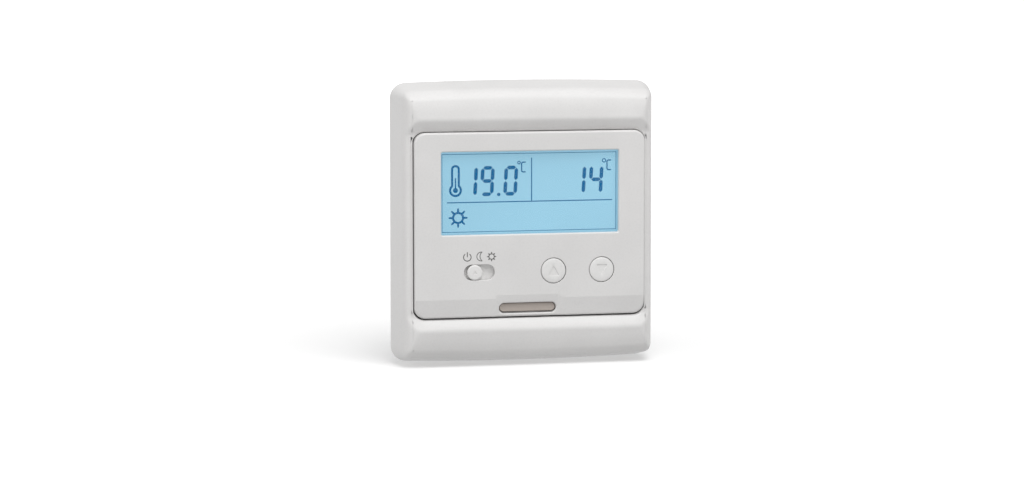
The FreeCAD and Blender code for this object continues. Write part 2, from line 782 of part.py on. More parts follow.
def front_cover():
    """The white front: window, button holes, slider slot, release slot and four screw posts."""
    body = new_body("front_cover")
    outline = new_sketch(body, FRONT, "cover_back_level")
    draw_rounded(outline, "0", "0", "cover_width", "cover_height", "cover_corner")
    pad(body, outline, "cover_level - cover_back_level")
    bend = new_sketch(body, SIDE)
    slope = "bend_drop / bend_height"
    beyond = "(bend_height + 1)"
    draw_polygon(bend, [
        ("-cover_level", BEND_Z),
        ("-(cover_level - %s * %s)" % (slope, beyond), "%s - %s" % (BEND_Z, beyond)),
        ("-(cover_level + 2)", "%s - %s" % (BEND_Z, beyond)),
        ("-(cover_level + 2)", BEND_Z),
    ])
    pocket(body, bend, across=True)
    round_edges(body, "cover_edge", is_cover_rim)
    cavity = new_sketch(body, FRONT, "cover_back_level")
    draw_rounded(cavity, "0", "0", COVER_INNER_WIDTH, COVER_INNER_HEIGHT, "cover_corner - cover_side")
    pocket(body, cavity, "%s - cover_back_level" % FACE_BACK, forwards=True)
    backing = new_sketch(body, FRONT, BEND_BACK)
    backing_top = "(%s + bend_backing)" % BEND_Z
    backing_low = "(-cover_height / 2 + cover_side / 2)"
    draw_rectangle(backing, "0", "(%s + %s) / 2" % (backing_top, backing_low),
                   "cover_width - cover_side - 2 * cover_corner", "%s - %s" % (backing_top, backing_low))
    pad(body, backing, "bend_backing + cover_face / 4")
    posts = new_sketch(body, FRONT, BOARD_FRONT)
    for x, z in POSTS:
        draw_circle(posts, x, z, "post_size")
    pad(body, posts, "%s - %s + cover_face / 4" % (FACE_BACK, BOARD_FRONT))
    threads = new_sketch(body, FRONT, BOARD_FRONT)
    for x, z in POSTS:
        draw_circle(threads, x, z, "small_shank + thread_play")
    pocket(body, threads, "%s - %s - 0.3" % (FACE_BACK, BOARD_FRONT), forwards=True)
    window = new_sketch(body, FRONT, "cover_level + 1")
    draw_rounded(window, "0", WINDOW_Z, "window_width", "window_height", "window_corner")
    pocket(body, window)
    holes = new_sketch(body, FRONT, "cover_level + 1")
    for side in ("-", "+"):
        draw_circle(holes, "button_x %s button_half_pitch" % side, "button_z", "button_size + 2 * button_gap")
    pocket(body, holes)
    slot = new_sketch(body, FRONT, "cover_level + 1")
    draw_stadium(slot, "slot_x", "slot_z", "slot_length", "slot_width")
    pocket(body, slot)
    latch_slot = new_sketch(body, FRONT, "cover_level + 1")
    draw_stadium(latch_slot, "latch_x", LATCH_Z, "latch_slot_length", "latch_slot_width")
    pocket(body, latch_slot, "cover_level + 1 - %s" % BEND_BACK)


def is_cover_rim(edge):
    """The outer edges of the cover's front face."""
    box_ = edge.BoundBox
    if along_y(edge) or -box_.YMin < number("cover_level - bend_drop") - 0.2:
        return False
    if -box_.YMax < number("cover_level - bend_drop") - 0.2:
        return False
    half_w, half_h = number("cover_width / 2"), number("cover_height / 2")
    corner = number("cover_corner")
    on_side = min(abs(box_.XMin), abs(box_.XMax)) > half_w - corner - 1e-4
    at_end = min(abs(box_.ZMin), abs(box_.ZMax)) > half_h - corner - 1e-4
    return on_side or at_end


def display():
    """The stack behind the window: lens, two sheets of glass, light guide, lamps and connector strip."""
    lens_width, lens_height = "window_width + 2 * lens_margin", "window_height + 2 * lens_margin"
    lens = box("0", WINDOW_Z, lens_width, lens_height, LENS_BACK, FACE_BACK)
    node("display_window", smooth(lens, "window_corner", along_y))
    low = "(%s - %s / 2)" % (GLASS_Z, GLASS_HEIGHT)
    rear_height = "(%s - glass_ledge)" % GLASS_HEIGHT
    rear_z = "(%s + %s / 2)" % (low, rear_height)
    node("lcd_front_glass", box("0", GLASS_Z, GLASS_WIDTH, GLASS_HEIGHT, FRONT_GLASS_BACK, LENS_BACK))
    rear = box("0", rear_z, GLASS_WIDTH, rear_height, REAR_GLASS_BACK, FRONT_GLASS_BACK)
    node("lcd_rear_glass", rear)
    guide_width = "(%s - led_length - 0.2)" % GLASS_WIDTH
    guide = box("-(led_length + 0.2) / 2", rear_z, guide_width, rear_height, BOARD_FRONT, REAR_GLASS_BACK)
    node("light_guide", guide)
    lamps = []
    for side in ("-", "+"):
        x = "%s / 2 - led_length / 2" % GLASS_WIDTH
        z = "%s %s led_rise" % (rear_z, side)
        lamps.append(box(x, z, "led_length", "led_height", BOARD_FRONT, REAR_GLASS_BACK))
    node("backlight_leds", group(lamps))
    strip_z = "(%s + %s / 2 - glass_ledge / 2)" % (GLASS_Z, GLASS_HEIGHT)
    strip = box("0", strip_z, "strip_width", "strip_height", BOARD_FRONT, FRONT_GLASS_BACK)
    node("elastomer_connector", strip)
    body = new_body("lcd_holder")
    outline = new_sketch(body, FRONT, BOARD_FRONT)
    inner_width = "(%s + 2 * glass_play)" % GLASS_WIDTH
    inner_height = "(%s + 2 * glass_play)" % GLASS_HEIGHT
    draw_rectangle(outline, "0", GLASS_Z, "%s + 2 * holder_wall" % inner_width,
                   "%s + 2 * holder_wall" % inner_height)
    draw_rectangle(outline, "0", GLASS_Z, inner_width, inner_height)
    pad(body, outline, "%s - %s" % (LENS_BACK, BOARD_FRONT))


# Boards

def board_outline(body, level, width, height, radius):
    outline = new_sketch(body, FRONT, level)
    draw_rounded(outline, "0", "0", width, height, radius)
    return outline


def latch_notch(body, level, thickness, height):
    """The notch in a lower edge that the release latch's leg passes through."""
    notch = new_sketch(body, FRONT, "%s + %s" % (level, thickness))
    top = "(%s + latch_leg_thick / 2 + latch_notch)" % LATCH_LEG_Z
    low = "(-(%s) / 2 - 1)" % height
    draw_rectangle(notch, "latch_x", "(%s + %s) / 2" % (top, low),
                   "latch_leg_width + 2 * latch_notch", "%s - %s" % (top, low))
    pocket(body, notch, thickness)


def control_board():
    """The board that carries the display, the switches and the electronics of the front."""
    body = new_body("control_board")
    width = "(%s - 2 * board_margin)" % COVER_INNER_WIDTH
    height = "(%s - 2 * board_margin)" % COVER_INNER_HEIGHT
    pad(body, board_outline(body, BOARD_BACK, width, height, "board_corner"), "board_thick")
    holes = new_sketch(body, FRONT, BOARD_FRONT)
    for x, z in POSTS:
        draw_circle(holes, x, z, "small_shank + screw_play")
    pocket(body, holes, "board_thick")
    latch_notch(body, BOARD_BACK, "board_thick", height)


def front_backplate():
    """The plate that closes the front's back, with four snap prongs that reach for the steel plate."""
    body = new_body("front_backplate")
    width = "(%s - 2 * backplate_margin)" % LIP_WIDTH
    height = "(%s - 2 * backplate_margin)" % LIP_HEIGHT
    pad(body, board_outline(body, "backplate_level", width, height, "cover_corner - 1.2"), "backplate_thick")
    bosses = new_sketch(body, FRONT, "backplate_level + backplate_thick")
    for x, z in POSTS:
        draw_circle(bosses, x, z, "post_size")
    pad(body, bosses, "boss_rise")
    holes = new_sketch(body, FRONT, BOARD_BACK)
    for x, z in POSTS:
        draw_circle(holes, x, z, "small_shank + screw_play")
    pocket(body, holes)
    opening = new_sketch(body, FRONT, "backplate_level + backplate_thick")
    draw_rectangle(opening, "0", "0", "%s + 2 * connector_play" % HEADER_LENGTH,
                   "header_height + 2 * connector_play")
    pocket(body, opening, "backplate_thick")
    latch_notch(body, "backplate_level", "backplate_thick", height)
    prongs = new_sketch(body, FRONT, "prong_end_level")
    for x in ("-" + PRONG_X, PRONG_X):
        for z in ("-prong_z", "prong_z"):
            draw_rectangle(prongs, x, z, "prong_thick", "prong_width")
    pad(body, prongs, "backplate_level + backplate_thick / 2 - prong_end_level")


def small_screw(x, z):
    """A pan-head screw with a straight driver slot, seen from the back."""
    head_back = "(backplate_level - small_head_thick)"
    head = rod(x, z, "small_head", head_back, "backplate_level")
    shank = rod(x, z, "small_shank", "backplate_level", "%s + small_reach" % BOARD_FRONT)
    slot = box(x, z, "small_head + 1", "driver_slot", head_back, "%s + driver_deep" % head_back)
    return cut(joined([head, shank]), slot)


def front_electronics():
    """The parts soldered to the front side of the control board."""
    def chip(label, x, z, width, height, rise):
        return node(label, box(x, z, width, height, BOARD_FRONT, "%s + %s" % (BOARD_FRONT, rise)))
    chip("microcontroller", "-3.5", "-15.2", "8", "8", "1.4")
    crystal_box = box("-3.5", "-21", "7", "2.4", BOARD_FRONT, "%s + 1.8" % BOARD_FRONT)
    node("crystal", smooth(crystal_box, "1", along_y))
    node("backup_capacitor", rod("31.2", "-15.4", "7", BOARD_FRONT, "%s + 2" % BOARD_FRONT))
    bead = DOC.addObject("Part::Sphere", "bead")
    bind(bead, "Radius", "1.2")
    place(bead, "-30", "-(%s + 1.7)" % BOARD_FRONT, "-13.5")
    legs = [rod("-30 %s 0.6" % side, "-13.5", "0.5", BOARD_FRONT, "%s + 1.4" % BOARD_FRONT) for side in "-+"]
    node("air_sensor", joined([bead] + legs))
    small = []
    for x in ("-7", "-4.2", "-1.4", "1.4"):
        for z in ("-23.4", "-24.9"):
            small.append(box(x, z, "1.6", "0.8", BOARD_FRONT, "%s + 0.5" % BOARD_FRONT))
    node("board_components", group(small))


# Buttons and their switches

def button(label, x, points_up):
    """A round push button with a domed face, an engraved arrow, a hidden flange and a stem."""
    body = new_body(label)
    profile = new_sketch(body, SIDE)
    stem_end = "(%s + tact_rise + tact_proud)" % BOARD_FRONT
    flange_front = "(%s - button_slack)" % FACE_BACK
    flange_back = "(%s - button_flange_thick)" % flange_front
    points = [
        (stem_end, "0"), (stem_end, "button_stem / 2"), (flange_back, "button_stem / 2"),
        (flange_back, FLANGE_SIZE + " / 2"), (flange_front, FLANGE_SIZE + " / 2"),
        (flange_front, "button_size / 2"), ("button_rim", "button_size / 2"), ("button_crown", "0"),
    ]
    outline = [("-(%s)" % level, radius) for level, radius in points]
    draw_polygon(profile, outline)
    turned = body.newObject("PartDesign::Revolution", label + "_turned")
    turned.Profile = (profile, [""])
    turned.ReferenceAxis = (profile, ["H_Axis"])
    turned.Angle = 360
    DOC.recompute()
    arrow = new_sketch(body, FRONT, "button_crown")
    sign = "" if points_up else "-"
    half, rise = "arrow_size / 2", "arrow_size * 0.43"
    tip = ("0", "%s(%s)" % (sign, rise))
    left, right = ("-(%s)" % half, "%s(-(%s))" % (sign, rise)), (half, "%s(-(%s))" % (sign, rise))
    draw_polygon(arrow, [tip, left, right])
    pocket(body, arrow, "arrow_deep")
    place(body, x, "0", "button_z")


def tact_switch(prefix, x):
    """A push switch on the board: a square body and the round plunger that the button presses."""
    body_front = "(%s + tact_rise)" % BOARD_FRONT
    plunger_back = "(%s - tact_sunk)" % body_front
    case = box(x, "button_z", "tact_size", "tact_size", BOARD_FRONT, body_front)
    well = rod(x, "button_z", "tact_rod + 2 * tact_play", "%s - button_travel - 0.1" % plunger_back,
               "%s + 1" % body_front)
    node(prefix + "_switch_body", cut(case, well))
    plunger = rod(x, "button_z", "tact_rod", plunger_back, "%s + tact_proud" % body_front)
    node(prefix + "_switch_plunger", plunger)


def buttons():
    for prefix, side in (("up", "-"), ("down", "+")):
        x = "button_x %s button_half_pitch" % side
        button(prefix + "_button", x, prefix == "up")
        tact_switch(prefix, x)


# Mode slider

def mode_slider():
    """The round slider knob with the plate behind it, and the three-position switch that it moves."""
    body = new_body("slider_knob")
    flange_front = "(%s - button_slack)" % FACE_BACK
    flange_back = "(%s - knob_flange_thick)" % flange_front
    plate = new_sketch(body, FRONT, flange_back)
    draw_rectangle(plate, "0", "0", "slot_length + slider_travel + 1", "knob_flange_height")
    pad(body, plate, "knob_flange_thick")
    knob = new_sketch(body, FRONT, flange_front)
    draw_circle(knob, "0", "0", KNOB_SIZE)
    pad(body, knob, "knob_level - %s" % flange_front)
    mark = new_sketch(body, FRONT, "knob_level")
    draw_polygon(mark, [("-knob_mark / 2", "-knob_mark / 2"), ("knob_mark / 2", "-knob_mark / 2"),
                        ("0", "knob_mark / 2")])
    pocket(body, mark, "0.2")
    seat = new_sketch(body, FRONT, flange_back)
    seat_size = "actuator_size + 2 * actuator_play"
    draw_rectangle(seat, "0", "0", seat_size, seat_size)
    pocket(body, seat, "actuator_deep + 0.05", forwards=True)
    place(body, KNOB_REST_X, "0", "slot_z")
    top = "(%s + switch_rise)" % BOARD_FRONT
    floor = "(%s + switch_floor)" % BOARD_FRONT
    case = box("slot_x", "slot_z", "switch_length", "switch_height", BOARD_FRONT, top)
    gap = box("slot_x", "slot_z", "actuator_size + slider_travel + 0.4", seat_size, floor, "%s + 1" % top)
    node("slide_switch_body", cut(case, gap))
    actuator = box(KNOB_REST_X, "slot_z", "actuator_size", "actuator_size", "%s + 0.1" % floor,
                   "%s + actuator_deep" % flange_back)
    node("slide_switch_actuator", actuator)


# Release latch

def release_latch():
    """The sprung latch behind the slot in the lower edge: tongue, plate and leg."""
    body = new_body("release_latch")
    plate_back = "(%s - 0.1 - latch_flange_thick)" % BEND_BACK
    low = "(-cover_height / 2 + cover_side + 0.2)"
    high = "(%s + latch_slot_width / 2 + 0.8)" % LATCH_Z
    plate = new_sketch(body, FRONT, plate_back)
    draw_rectangle(plate, "0", "(%s + %s) / 2" % (low, high), "latch_slot_length + 2 * latch_flange_over",
                   "%s - %s" % (high, low))
    pad(body, plate, "latch_flange_thick")
    tongue_top = "(%s + latch_slot_width / 2 - tongue_play)" % LATCH_Z
    tongue_low = "(%s - latch_slot_width / 2 + tongue_slit)" % LATCH_Z
    tongue = new_sketch(body, FRONT, "%s + latch_flange_thick / 2" % plate_back)
    draw_stadium(tongue, "0", "(%s + %s) / 2" % (tongue_top, tongue_low),
                 "latch_slot_length - 2 * tongue_play", "%s - %s" % (tongue_top, tongue_low))
    pad(body, tongue, "tongue_level - %s - latch_flange_thick / 2" % plate_back)
    leg = new_sketch(body, FRONT, "latch_leg_level")
    draw_rectangle(leg, "0", LATCH_LEG_Z, "latch_leg_width", "latch_leg_thick")
    pad(body, leg, "%s + latch_flange_thick / 2 - latch_leg_level" % plate_back)
    place(body, "latch_x")


# Connector

def connector():
    """The pin header of the front and the socket of the base that it plugs into."""
    header = box("0", "0", HEADER_LENGTH, "header_height", "header_level", BOARD_BACK)
    node("header_body", header)
    first = "-(pin_count - 1) * pin_pitch / 2"
    pins = []
    for index in range(int(number("pin_count"))):
        x = "%s + %d * pin_pitch" % (first, index)
        pins.append(box(x, "0", "pin_size", "pin_size", "pin_end_level", "header_level"))
    node("header_pins", group(pins))
    body = new_body("base_socket")
    block = new_sketch(body, FRONT, "power_level")
    draw_rectangle(block, "0", "0", HEADER_LENGTH, "socket_height")
    pad(body, block, "socket_level - power_level")
    hole = new_sketch(body, FRONT, "socket_level")
    draw_rectangle(hole, first, "0", "socket_hole", "socket_hole")
    cutting = pocket(body, hole, "socket_level - power_level - socket_floor")
    row_along_x(body, cutting, "pin_pitch", "pin_count")


# Steel mounting plate

def mounting_plate():
    """The galvanised plate screwed to the wall box, with slotted holes and four bent lugs."""
    body = new_body("mounting_plate")
    pad(body, board_outline(body, "0", PLATE_WIDTH, PLATE_HEIGHT, "plate_corner"), "plate_thick")
    opening = new_sketch(body, FRONT, "plate_thick")
    draw_polygon(opening, octagon("base_size / 2 + base_play", "base_chamfer"))
    pocket(body, opening, "plate_thick")
    slots = new_sketch(body, FRONT, "plate_thick")
    for x in ("-screw_spacing / 2", "screw_spacing / 2"):
        draw_stadium(slots, x, "0", "wall_slot_length", "wall_slot_width")
    pocket(body, slots, "plate_thick")
    windows = new_sketch(body, FRONT, "plate_thick")
    for x in ("-" + PRONG_X, PRONG_X):
        for z in ("-prong_z", "prong_z"):
            draw_rectangle(windows, x, z, "prong_thick + 2 * prong_play", "prong_width + 2 * prong_play")
    pocket(body, windows, "plate_thick")
    lugs = new_sketch(body, FRONT, "plate_thick / 2")
    lug_z = "(%s / 2 - lug_gap - lug_thick / 2)" % POCKET_HEIGHT
    for x in ("-lug_x", "lug_x"):
        for z in ("-%s" % lug_z, lug_z):
            draw_rectangle(lugs, x, z, "lug_width", "lug_thick")
    pad(body, lugs, "lug_level - plate_thick / 2")


# Base in the wall box

def base_housing():
    """The housing in the wall box: an eight-sided cup with a step for the terminals."""
    body = new_body("base_housing")
    shell = new_sketch(body, FRONT, "-base_depth")
    draw_polygon(shell, octagon("base_size / 2", "base_chamfer"))
    pad(body, shell, "base_depth + %s" % BASE_FRONT)
    flange = new_sketch(body, FRONT, "plate_thick")
    draw_polygon(flange, octagon("base_size / 2 + base_flange", "base_chamfer"))
    pad(body, flange, "base_flange_thick")
    shallow = new_sketch(body, FRONT, BASE_FRONT)
    draw_polygon(shallow, octagon(INNER_HALF, INNER_CHAMFER))
    pocket(body, shallow, "%s - notch_level - base_wall" % BASE_FRONT)
    deep = new_sketch(body, FRONT, BASE_FRONT)
    step = "notch_z + base_wall"
    inner = "%s - %s" % (INNER_HALF, INNER_CHAMFER)
    draw_polygon(deep, [
        (INNER_HALF, step), (INNER_HALF, inner), (inner, INNER_HALF),
        ("-(%s)" % inner, INNER_HALF), ("-%s" % INNER_HALF, inner), ("-%s" % INNER_HALF, step),
    ])
    pocket(body, deep, "%s + base_depth - base_wall" % BASE_FRONT)
    notch = new_sketch(body, FRONT, "notch_level")
    draw_rectangle(notch, "0", "notch_z - base_size / 4", "base_size + 2", "base_size / 2")
    pocket(body, notch, "base_depth + notch_level + 1")
    posts = new_sketch(body, FRONT, "base_post_end")
    for x, z in BASE_POSTS:
        draw_circle(posts, x, z, "base_post")
    pad(body, posts, "%s - base_post_end" % POWER_BACK)
    threads = new_sketch(body, FRONT, POWER_BACK)
    for x, z in BASE_POSTS:
        draw_circle(threads, x, z, "base_shank + thread_play")
    pocket(body, threads, "base_reach + 0.5")


def base_cover():
    """The inner cover over the power board, with tubes for its screws and a slot for the socket."""
    body = new_body("base_cover")
    plate = new_sketch(body, FRONT, BASE_FRONT)
    draw_polygon(plate, octagon("base_size / 2 + base_flange", "base_chamfer"))
    pad(body, plate, "base_cover_thick")
    tubes = new_sketch(body, FRONT, "power_level")
    for x, z in BASE_POSTS:
        draw_circle(tubes, x, z, "base_post - 0.6")
    pad(body, tubes, "%s - power_level + base_cover_thick / 2" % BASE_FRONT)
    holes = new_sketch(body, FRONT, BASE_COVER_FRONT)
    for x, z in BASE_POSTS:
        draw_circle(holes, x, z, "base_shank + screw_play")
    pocket(body, holes)
    opening = new_sketch(body, FRONT, BASE_COVER_FRONT)
    draw_rectangle(opening, "0", "0", "%s + 2 * connector_play" % HEADER_LENGTH,
                   "socket_height + 2 * connector_play")
    pocket(body, opening, "base_cover_thick")


def base_screw(x, z):
    """A pan-head screw that holds the inner cover and the power board to the housing."""
    head_front = "(%s + base_head_thick)" % BASE_COVER_FRONT
    head = rod(x, z, "base_head", BASE_COVER_FRONT, head_front)
    shank = rod(x, z, "base_shank", "%s - base_reach" % POWER_BACK, BASE_COVER_FRONT)
    slot = box(x, z, "base_head + 1", "driver_slot", "%s - driver_deep" % head_front, head_front)
    return cut(joined([head, shank]), slot)


def power_board():
    """The eight-sided board in the base that carries the mains parts."""
    body = new_body("power_board")
    plate = new_sketch(body, FRONT, POWER_BACK)
    draw_polygon(plate, octagon("%s - power_margin" % INNER_HALF, INNER_CHAMFER))
    pad(body, plate, "board_thick")
    holes = new_sketch(body, FRONT, "power_level")
    for x, z in BASE_POSTS:
        draw_circle(holes, x, z, "base_shank + screw_play")
    pocket(body, holes, "board_thick")


def power_electronics():
    """The parts on the back of the power board."""
    def block(label, x, z, width, height, rise, radius="0.4"):
        thing = box(x, z, width, height, "%s - %s" % (POWER_BACK, rise), POWER_BACK)
        return node(label, smooth(thing, radius, along_y))
    block("relay", "0", "11.6", "28.6", "12.4", "15.7")
    block("film_capacitor", "-8.6", "-2.6", "15", "7.4", "13.4")
    block("bridge_rectifier", "0", "-17.6", "8.4", "6.2", "3.2")
    node("large_capacitor", rod("5.4", "-0.6", "8", "%s - 12" % POWER_BACK, POWER_BACK))
    node("small_capacitor", rod("13.6", "-2.2", "6.3", "%s - 11" % POWER_BACK, POWER_BACK))
    disc = bar("-13", "-13.6", "%s - 4.6" % POWER_BACK, "7", "3.6")
    legs = [rod(x, "-13.6", "0.8", "%s - 2.4" % POWER_BACK, POWER_BACK) for x in ("-12.2", "-10.2")]
    node("varistor", joined([disc] + legs))
    tube = bar("6", "-12.4", "%s - 3" % POWER_BACK, "4", "9")
    ends = [rod(x, "-12.4", "0.8", "%s - 2" % POWER_BACK, POWER_BACK) for x in ("7.2", "13.8")]
    node("fuse", joined([tube] + ends))


# Terminals

def terminal_x(index):
    return "(%d - (terminal_count - 1) / 2) * terminal_pitch" % index


def terminals():
    """The terminal block under the housing's step, with a clamp and a screw in each place."""
    low = "(%s - terminal_height)" % TERMINAL_TOP
    body = new_body("terminal_block")
    block = new_sketch(body, FRONT, "-base_depth")
    draw_rectangle(block, "0", "%s - terminal_height / 2" % TERMINAL_TOP, TERMINAL_WIDTH, "terminal_height")
    pad(body, block, "base_depth + %s" % TERMINAL_FRONT)
    entry = new_sketch(body, FRONT, "entry_level")
    entry_z = "%s + entry_height / 2" % low
    draw_rectangle(entry, terminal_x(0), entry_z, "entry_width", "entry_height")
    cutting = pocket(body, entry, "entry_depth")
    row_along_x(body, cutting, "terminal_pitch", "terminal_count")
    driver = new_sketch(body, FRONT, "-base_depth")
    draw_circle(driver, terminal_x(0), SCREW_Z, "driver_hole")
    cutting = pocket(body, driver, "base_depth + entry_level - entry_depth / 2", forwards=True)
    row_along_x(body, cutting, "terminal_pitch", "terminal_count")
    clamps, screws = [], []
    entry_back = "(entry_level - entry_depth)"
    for index in range(int(number("terminal_count"))):
        x = terminal_x(index)
        outer = box(x, SCREW_Z, "entry_width - 2 * clamp_play", "clamp_height - 0.4",
                    "%s + clamp_play" % entry_back, "entry_level - clamp_play")
        inner = box(x, SCREW_Z, "entry_width - 2 * clamp_play - 2 * clamp_wall", "clamp_height + 1",
                    "%s + clamp_play + clamp_wall" % entry_back, "entry_level - clamp_play - clamp_wall")
        bore = rod(x, SCREW_Z, "terminal_shank + 2 * clamp_play", "%s - 1" % entry_back,
                   "%s + 1" % entry_back)
        clamps.append(cut(cut(outer, inner), bore))
        head_back = "(terminal_head_level - terminal_head_thick)"
        head = rod(x, SCREW_Z, "terminal_head", head_back, "terminal_head_level")
        shank = rod(x, SCREW_Z, "terminal_shank", "terminal_head_level", "terminal_tip_level")
        slot = box(x, SCREW_Z, "terminal_head + 1", "driver_slot", head_back, "%s + driver_deep" % head_back)
        screws.append(cut(joined([head, shank]), slot))
    node("terminal_clamps", group(clamps))
    node("terminal_screws", group(screws))


def check_document():
    """Stops on any object or sub-part that did not come out whole."""
    for thing in DOC.Objects:
        if "Invalid" in thing.State or "Error" in thing.State:
            raise RuntimeError("%s failed: %s" % (thing.Name, thing.State))
    for label, thing in NODES.items():
        if thing.Shape.isNull() or not thing.Shape.isValid() or not thing.Shape.Solids:
            raise RuntimeError("%s has no valid solid" % label)


def main():
    fill_sheet()
    outer_frame()
    front_cover()
    display()
    control_board()
    front_backplate()
    node("backplate_screws", group([small_screw(x, z) for x, z in POSTS]))
    front_electronics()
    buttons()
    mode_slider()
    release_latch()
    connector()
    mounting_plate()
    base_housing()
    base_cover()
    node("base_screws", group([base_screw(x, z) for x, z in BASE_POSTS]))
    power_board()
    power_electronics()
    terminals()
    DOC.recompute()
    check_document()
    os.makedirs("parts", exist_ok=True)
    for label, thing in NODES.items():
        thing.Shape.exportStep("parts/%s.step" % label)


main()
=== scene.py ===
"""Wall thermostat: its pieces, finishes and stage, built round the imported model."""

import math

import bmesh
import bpy
from bpy.props import FloatProperty, FloatVectorProperty, PointerProperty
from mathutils import Matrix, Vector


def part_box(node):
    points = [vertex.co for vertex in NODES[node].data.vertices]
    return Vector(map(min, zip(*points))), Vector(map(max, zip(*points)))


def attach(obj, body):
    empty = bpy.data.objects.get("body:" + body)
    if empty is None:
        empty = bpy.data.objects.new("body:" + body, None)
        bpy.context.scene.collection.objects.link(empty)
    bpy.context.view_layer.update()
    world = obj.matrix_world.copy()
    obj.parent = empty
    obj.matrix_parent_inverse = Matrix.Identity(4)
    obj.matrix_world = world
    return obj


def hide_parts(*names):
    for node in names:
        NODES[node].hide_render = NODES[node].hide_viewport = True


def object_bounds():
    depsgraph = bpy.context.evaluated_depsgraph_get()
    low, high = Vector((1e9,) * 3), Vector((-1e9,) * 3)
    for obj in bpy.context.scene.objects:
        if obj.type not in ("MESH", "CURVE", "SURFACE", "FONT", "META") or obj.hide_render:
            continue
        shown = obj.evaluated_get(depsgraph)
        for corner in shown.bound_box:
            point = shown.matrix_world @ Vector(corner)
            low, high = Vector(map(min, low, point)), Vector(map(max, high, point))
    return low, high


bl_info = {
    "name": "Wall Thermostat",
    "version": (1, 0, 0),
    "blender": (4, 5, 0),
    "location": "View3D > Sidebar > Thermostat",
    "description": "Builds a flush wall thermostat with its display, buttons, slider and wall-box base",
    "category": "Add Mesh",
}

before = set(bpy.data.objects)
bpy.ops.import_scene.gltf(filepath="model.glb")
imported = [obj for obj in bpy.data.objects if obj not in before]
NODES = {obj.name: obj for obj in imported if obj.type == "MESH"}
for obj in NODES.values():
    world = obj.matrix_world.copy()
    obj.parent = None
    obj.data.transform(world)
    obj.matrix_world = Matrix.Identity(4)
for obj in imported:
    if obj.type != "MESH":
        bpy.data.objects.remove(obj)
CAD_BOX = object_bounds()
MM = 0.001


def box_mm(node):
    """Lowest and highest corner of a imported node, in millimetres."""
    low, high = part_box(node)
    return low / MM, high / MM


FRAME_HIGH = box_mm("outer_frame")[1]
COVER_LOW, COVER_HIGH = box_mm("front_cover")
LENS_LOW, LENS_HIGH = box_mm("display_window")
GLASS_LOW, GLASS_HIGH = box_mm("lcd_front_glass")


# Sizes and colours that a user would change

def length(name, description, millimetres):
    """A length property, shown in the scene's unit."""
    return FloatProperty(
        name=name, description=description, default=millimetres * MM,
        min=0.0, unit="LENGTH", precision=5,
    )


def colour(name, description, red, green, blue):
    """A colour property."""
    return FloatVectorProperty(
        name=name, description=description, default=(red, green, blue),
        min=0.0, max=1.0, size=3, subtype="COLOR",
    )


class ThermostatSizes(bpy.types.PropertyGroup):
    """Sizes of the shown pieces."""

    side_level: length("Side bars", "How far the low side bars stand in front of the wall", 12.9)
    crest_level: length("Ridges", "How far the two ridges stand in front of the wall", 15.0)
    shoulder_level: length("Shoulders", "How far the frame's outer edges stand in front of the wall", 12.4)
    frame_bow: length("Bow", "How far the top and bottom edges bow outwards", 0.8)
    frame_corner: length("Frame corner", "Radius of the frame's corners", 5.0)
    frame_rounding: length("Frame rounding", "Rounding of the frame's outer front edge", 2.6)
    side_fall: length("Side fall", "Width of the curve that ends the ridges at both sides", 6.5)
    cover_gap: length("Cover gap", "Gap between the frame and the front cover", 0.5)
    cover_corner: length("Cover corner", "Radius of the front cover's corners", 3.6)
    cover_rounding: length("Cover rounding", "Rounding of the front cover's rim", 0.7)
    hole_rounding: length("Hole rounding", "Rounding of the cover's openings", 0.18)
    window_rounding: length("Window rounding", "Rounding of the window's rim", 0.5)
    latch_rounding: length("Latch slot rounding", "Rounding of the release slot's rim", 0.45)
    window_width: length("Window width", "Width of the display window", 57.75)
    window_height: length("Window height", "Height of the display window", 26.45)
    button_size: length("Button", "Diameter of the buttons", 8.0)
    arrow_size: length("Arrow", "Width of the arrows on the buttons", 3.7)
    digit_stroke: length("Digit stroke", "Width of the display's segments", 1.16)
    icon_stroke: length("Icon stroke", "Width of the printed lines over the slider", 0.30)


class ThermostatColours(bpy.types.PropertyGroup):
    """Colours of the finishes."""

    shell: colour("Shell", "White plastic of the frame and the cover", 0.720, 0.712, 0.706)
    keys: colour("Keys", "White plastic of the buttons and the knob", 0.770, 0.764, 0.756)
    display: colour("Display", "The display's lit background", 0.315, 0.590, 0.745)
    segment: colour("Segments", "The display's dark segments", 0.0, 0.132, 0.325)
    ink: colour("Ink", "Printed symbols over the slider", 0.110, 0.108, 0.105)
    latch: colour("Latch", "Warm grey plastic of the release latch", 0.440, 0.388, 0.350)
    housing: colour("Housing", "Plastic of the base in the wall box", 0.520, 0.520, 0.500)
    board: colour("Boards", "Lacquer of the circuit boards", 0.010, 0.110, 0.045)
    terminal: colour("Terminals", "Plastic of the terminal block", 0.060, 0.075, 0.085)


def sizes():
    """The scene's sizes."""
    return bpy.context.scene.thermostat_sizes


def colours():
    """The scene's colours."""
    return bpy.context.scene.thermostat_colours


# Finishes

def tree(name):
    """A new material with its nodes, its links and its shader."""
    material = bpy.data.materials.new(name)
    material.use_nodes = True
    nodes, links = material.node_tree.nodes, material.node_tree.links
    shader = nodes["Principled BSDF"]
    return material, nodes, links, shader


def add_node(nodes, kind, inputs=None, **settings):
    """A new node with its settings and the values of its inputs."""
    made = nodes.new(kind)
    for name, value in settings.items():
        setattr(made, name, value)
    for name, value in (inputs or {}).items():
        made.inputs[name].default_value = value
    return made


def object_place(nodes, links, stretch=(1.0, 1.0, 1.0)):
    """Object coordinates through a mapping that stretches a pattern."""
    place = nodes.new("ShaderNodeTexCoord")
    mapping = add_node(nodes, "ShaderNodeMapping", {"Scale": stretch})
    links.new(place.outputs["Object"], mapping.inputs["Vector"])
    return mapping.outputs["Vector"]


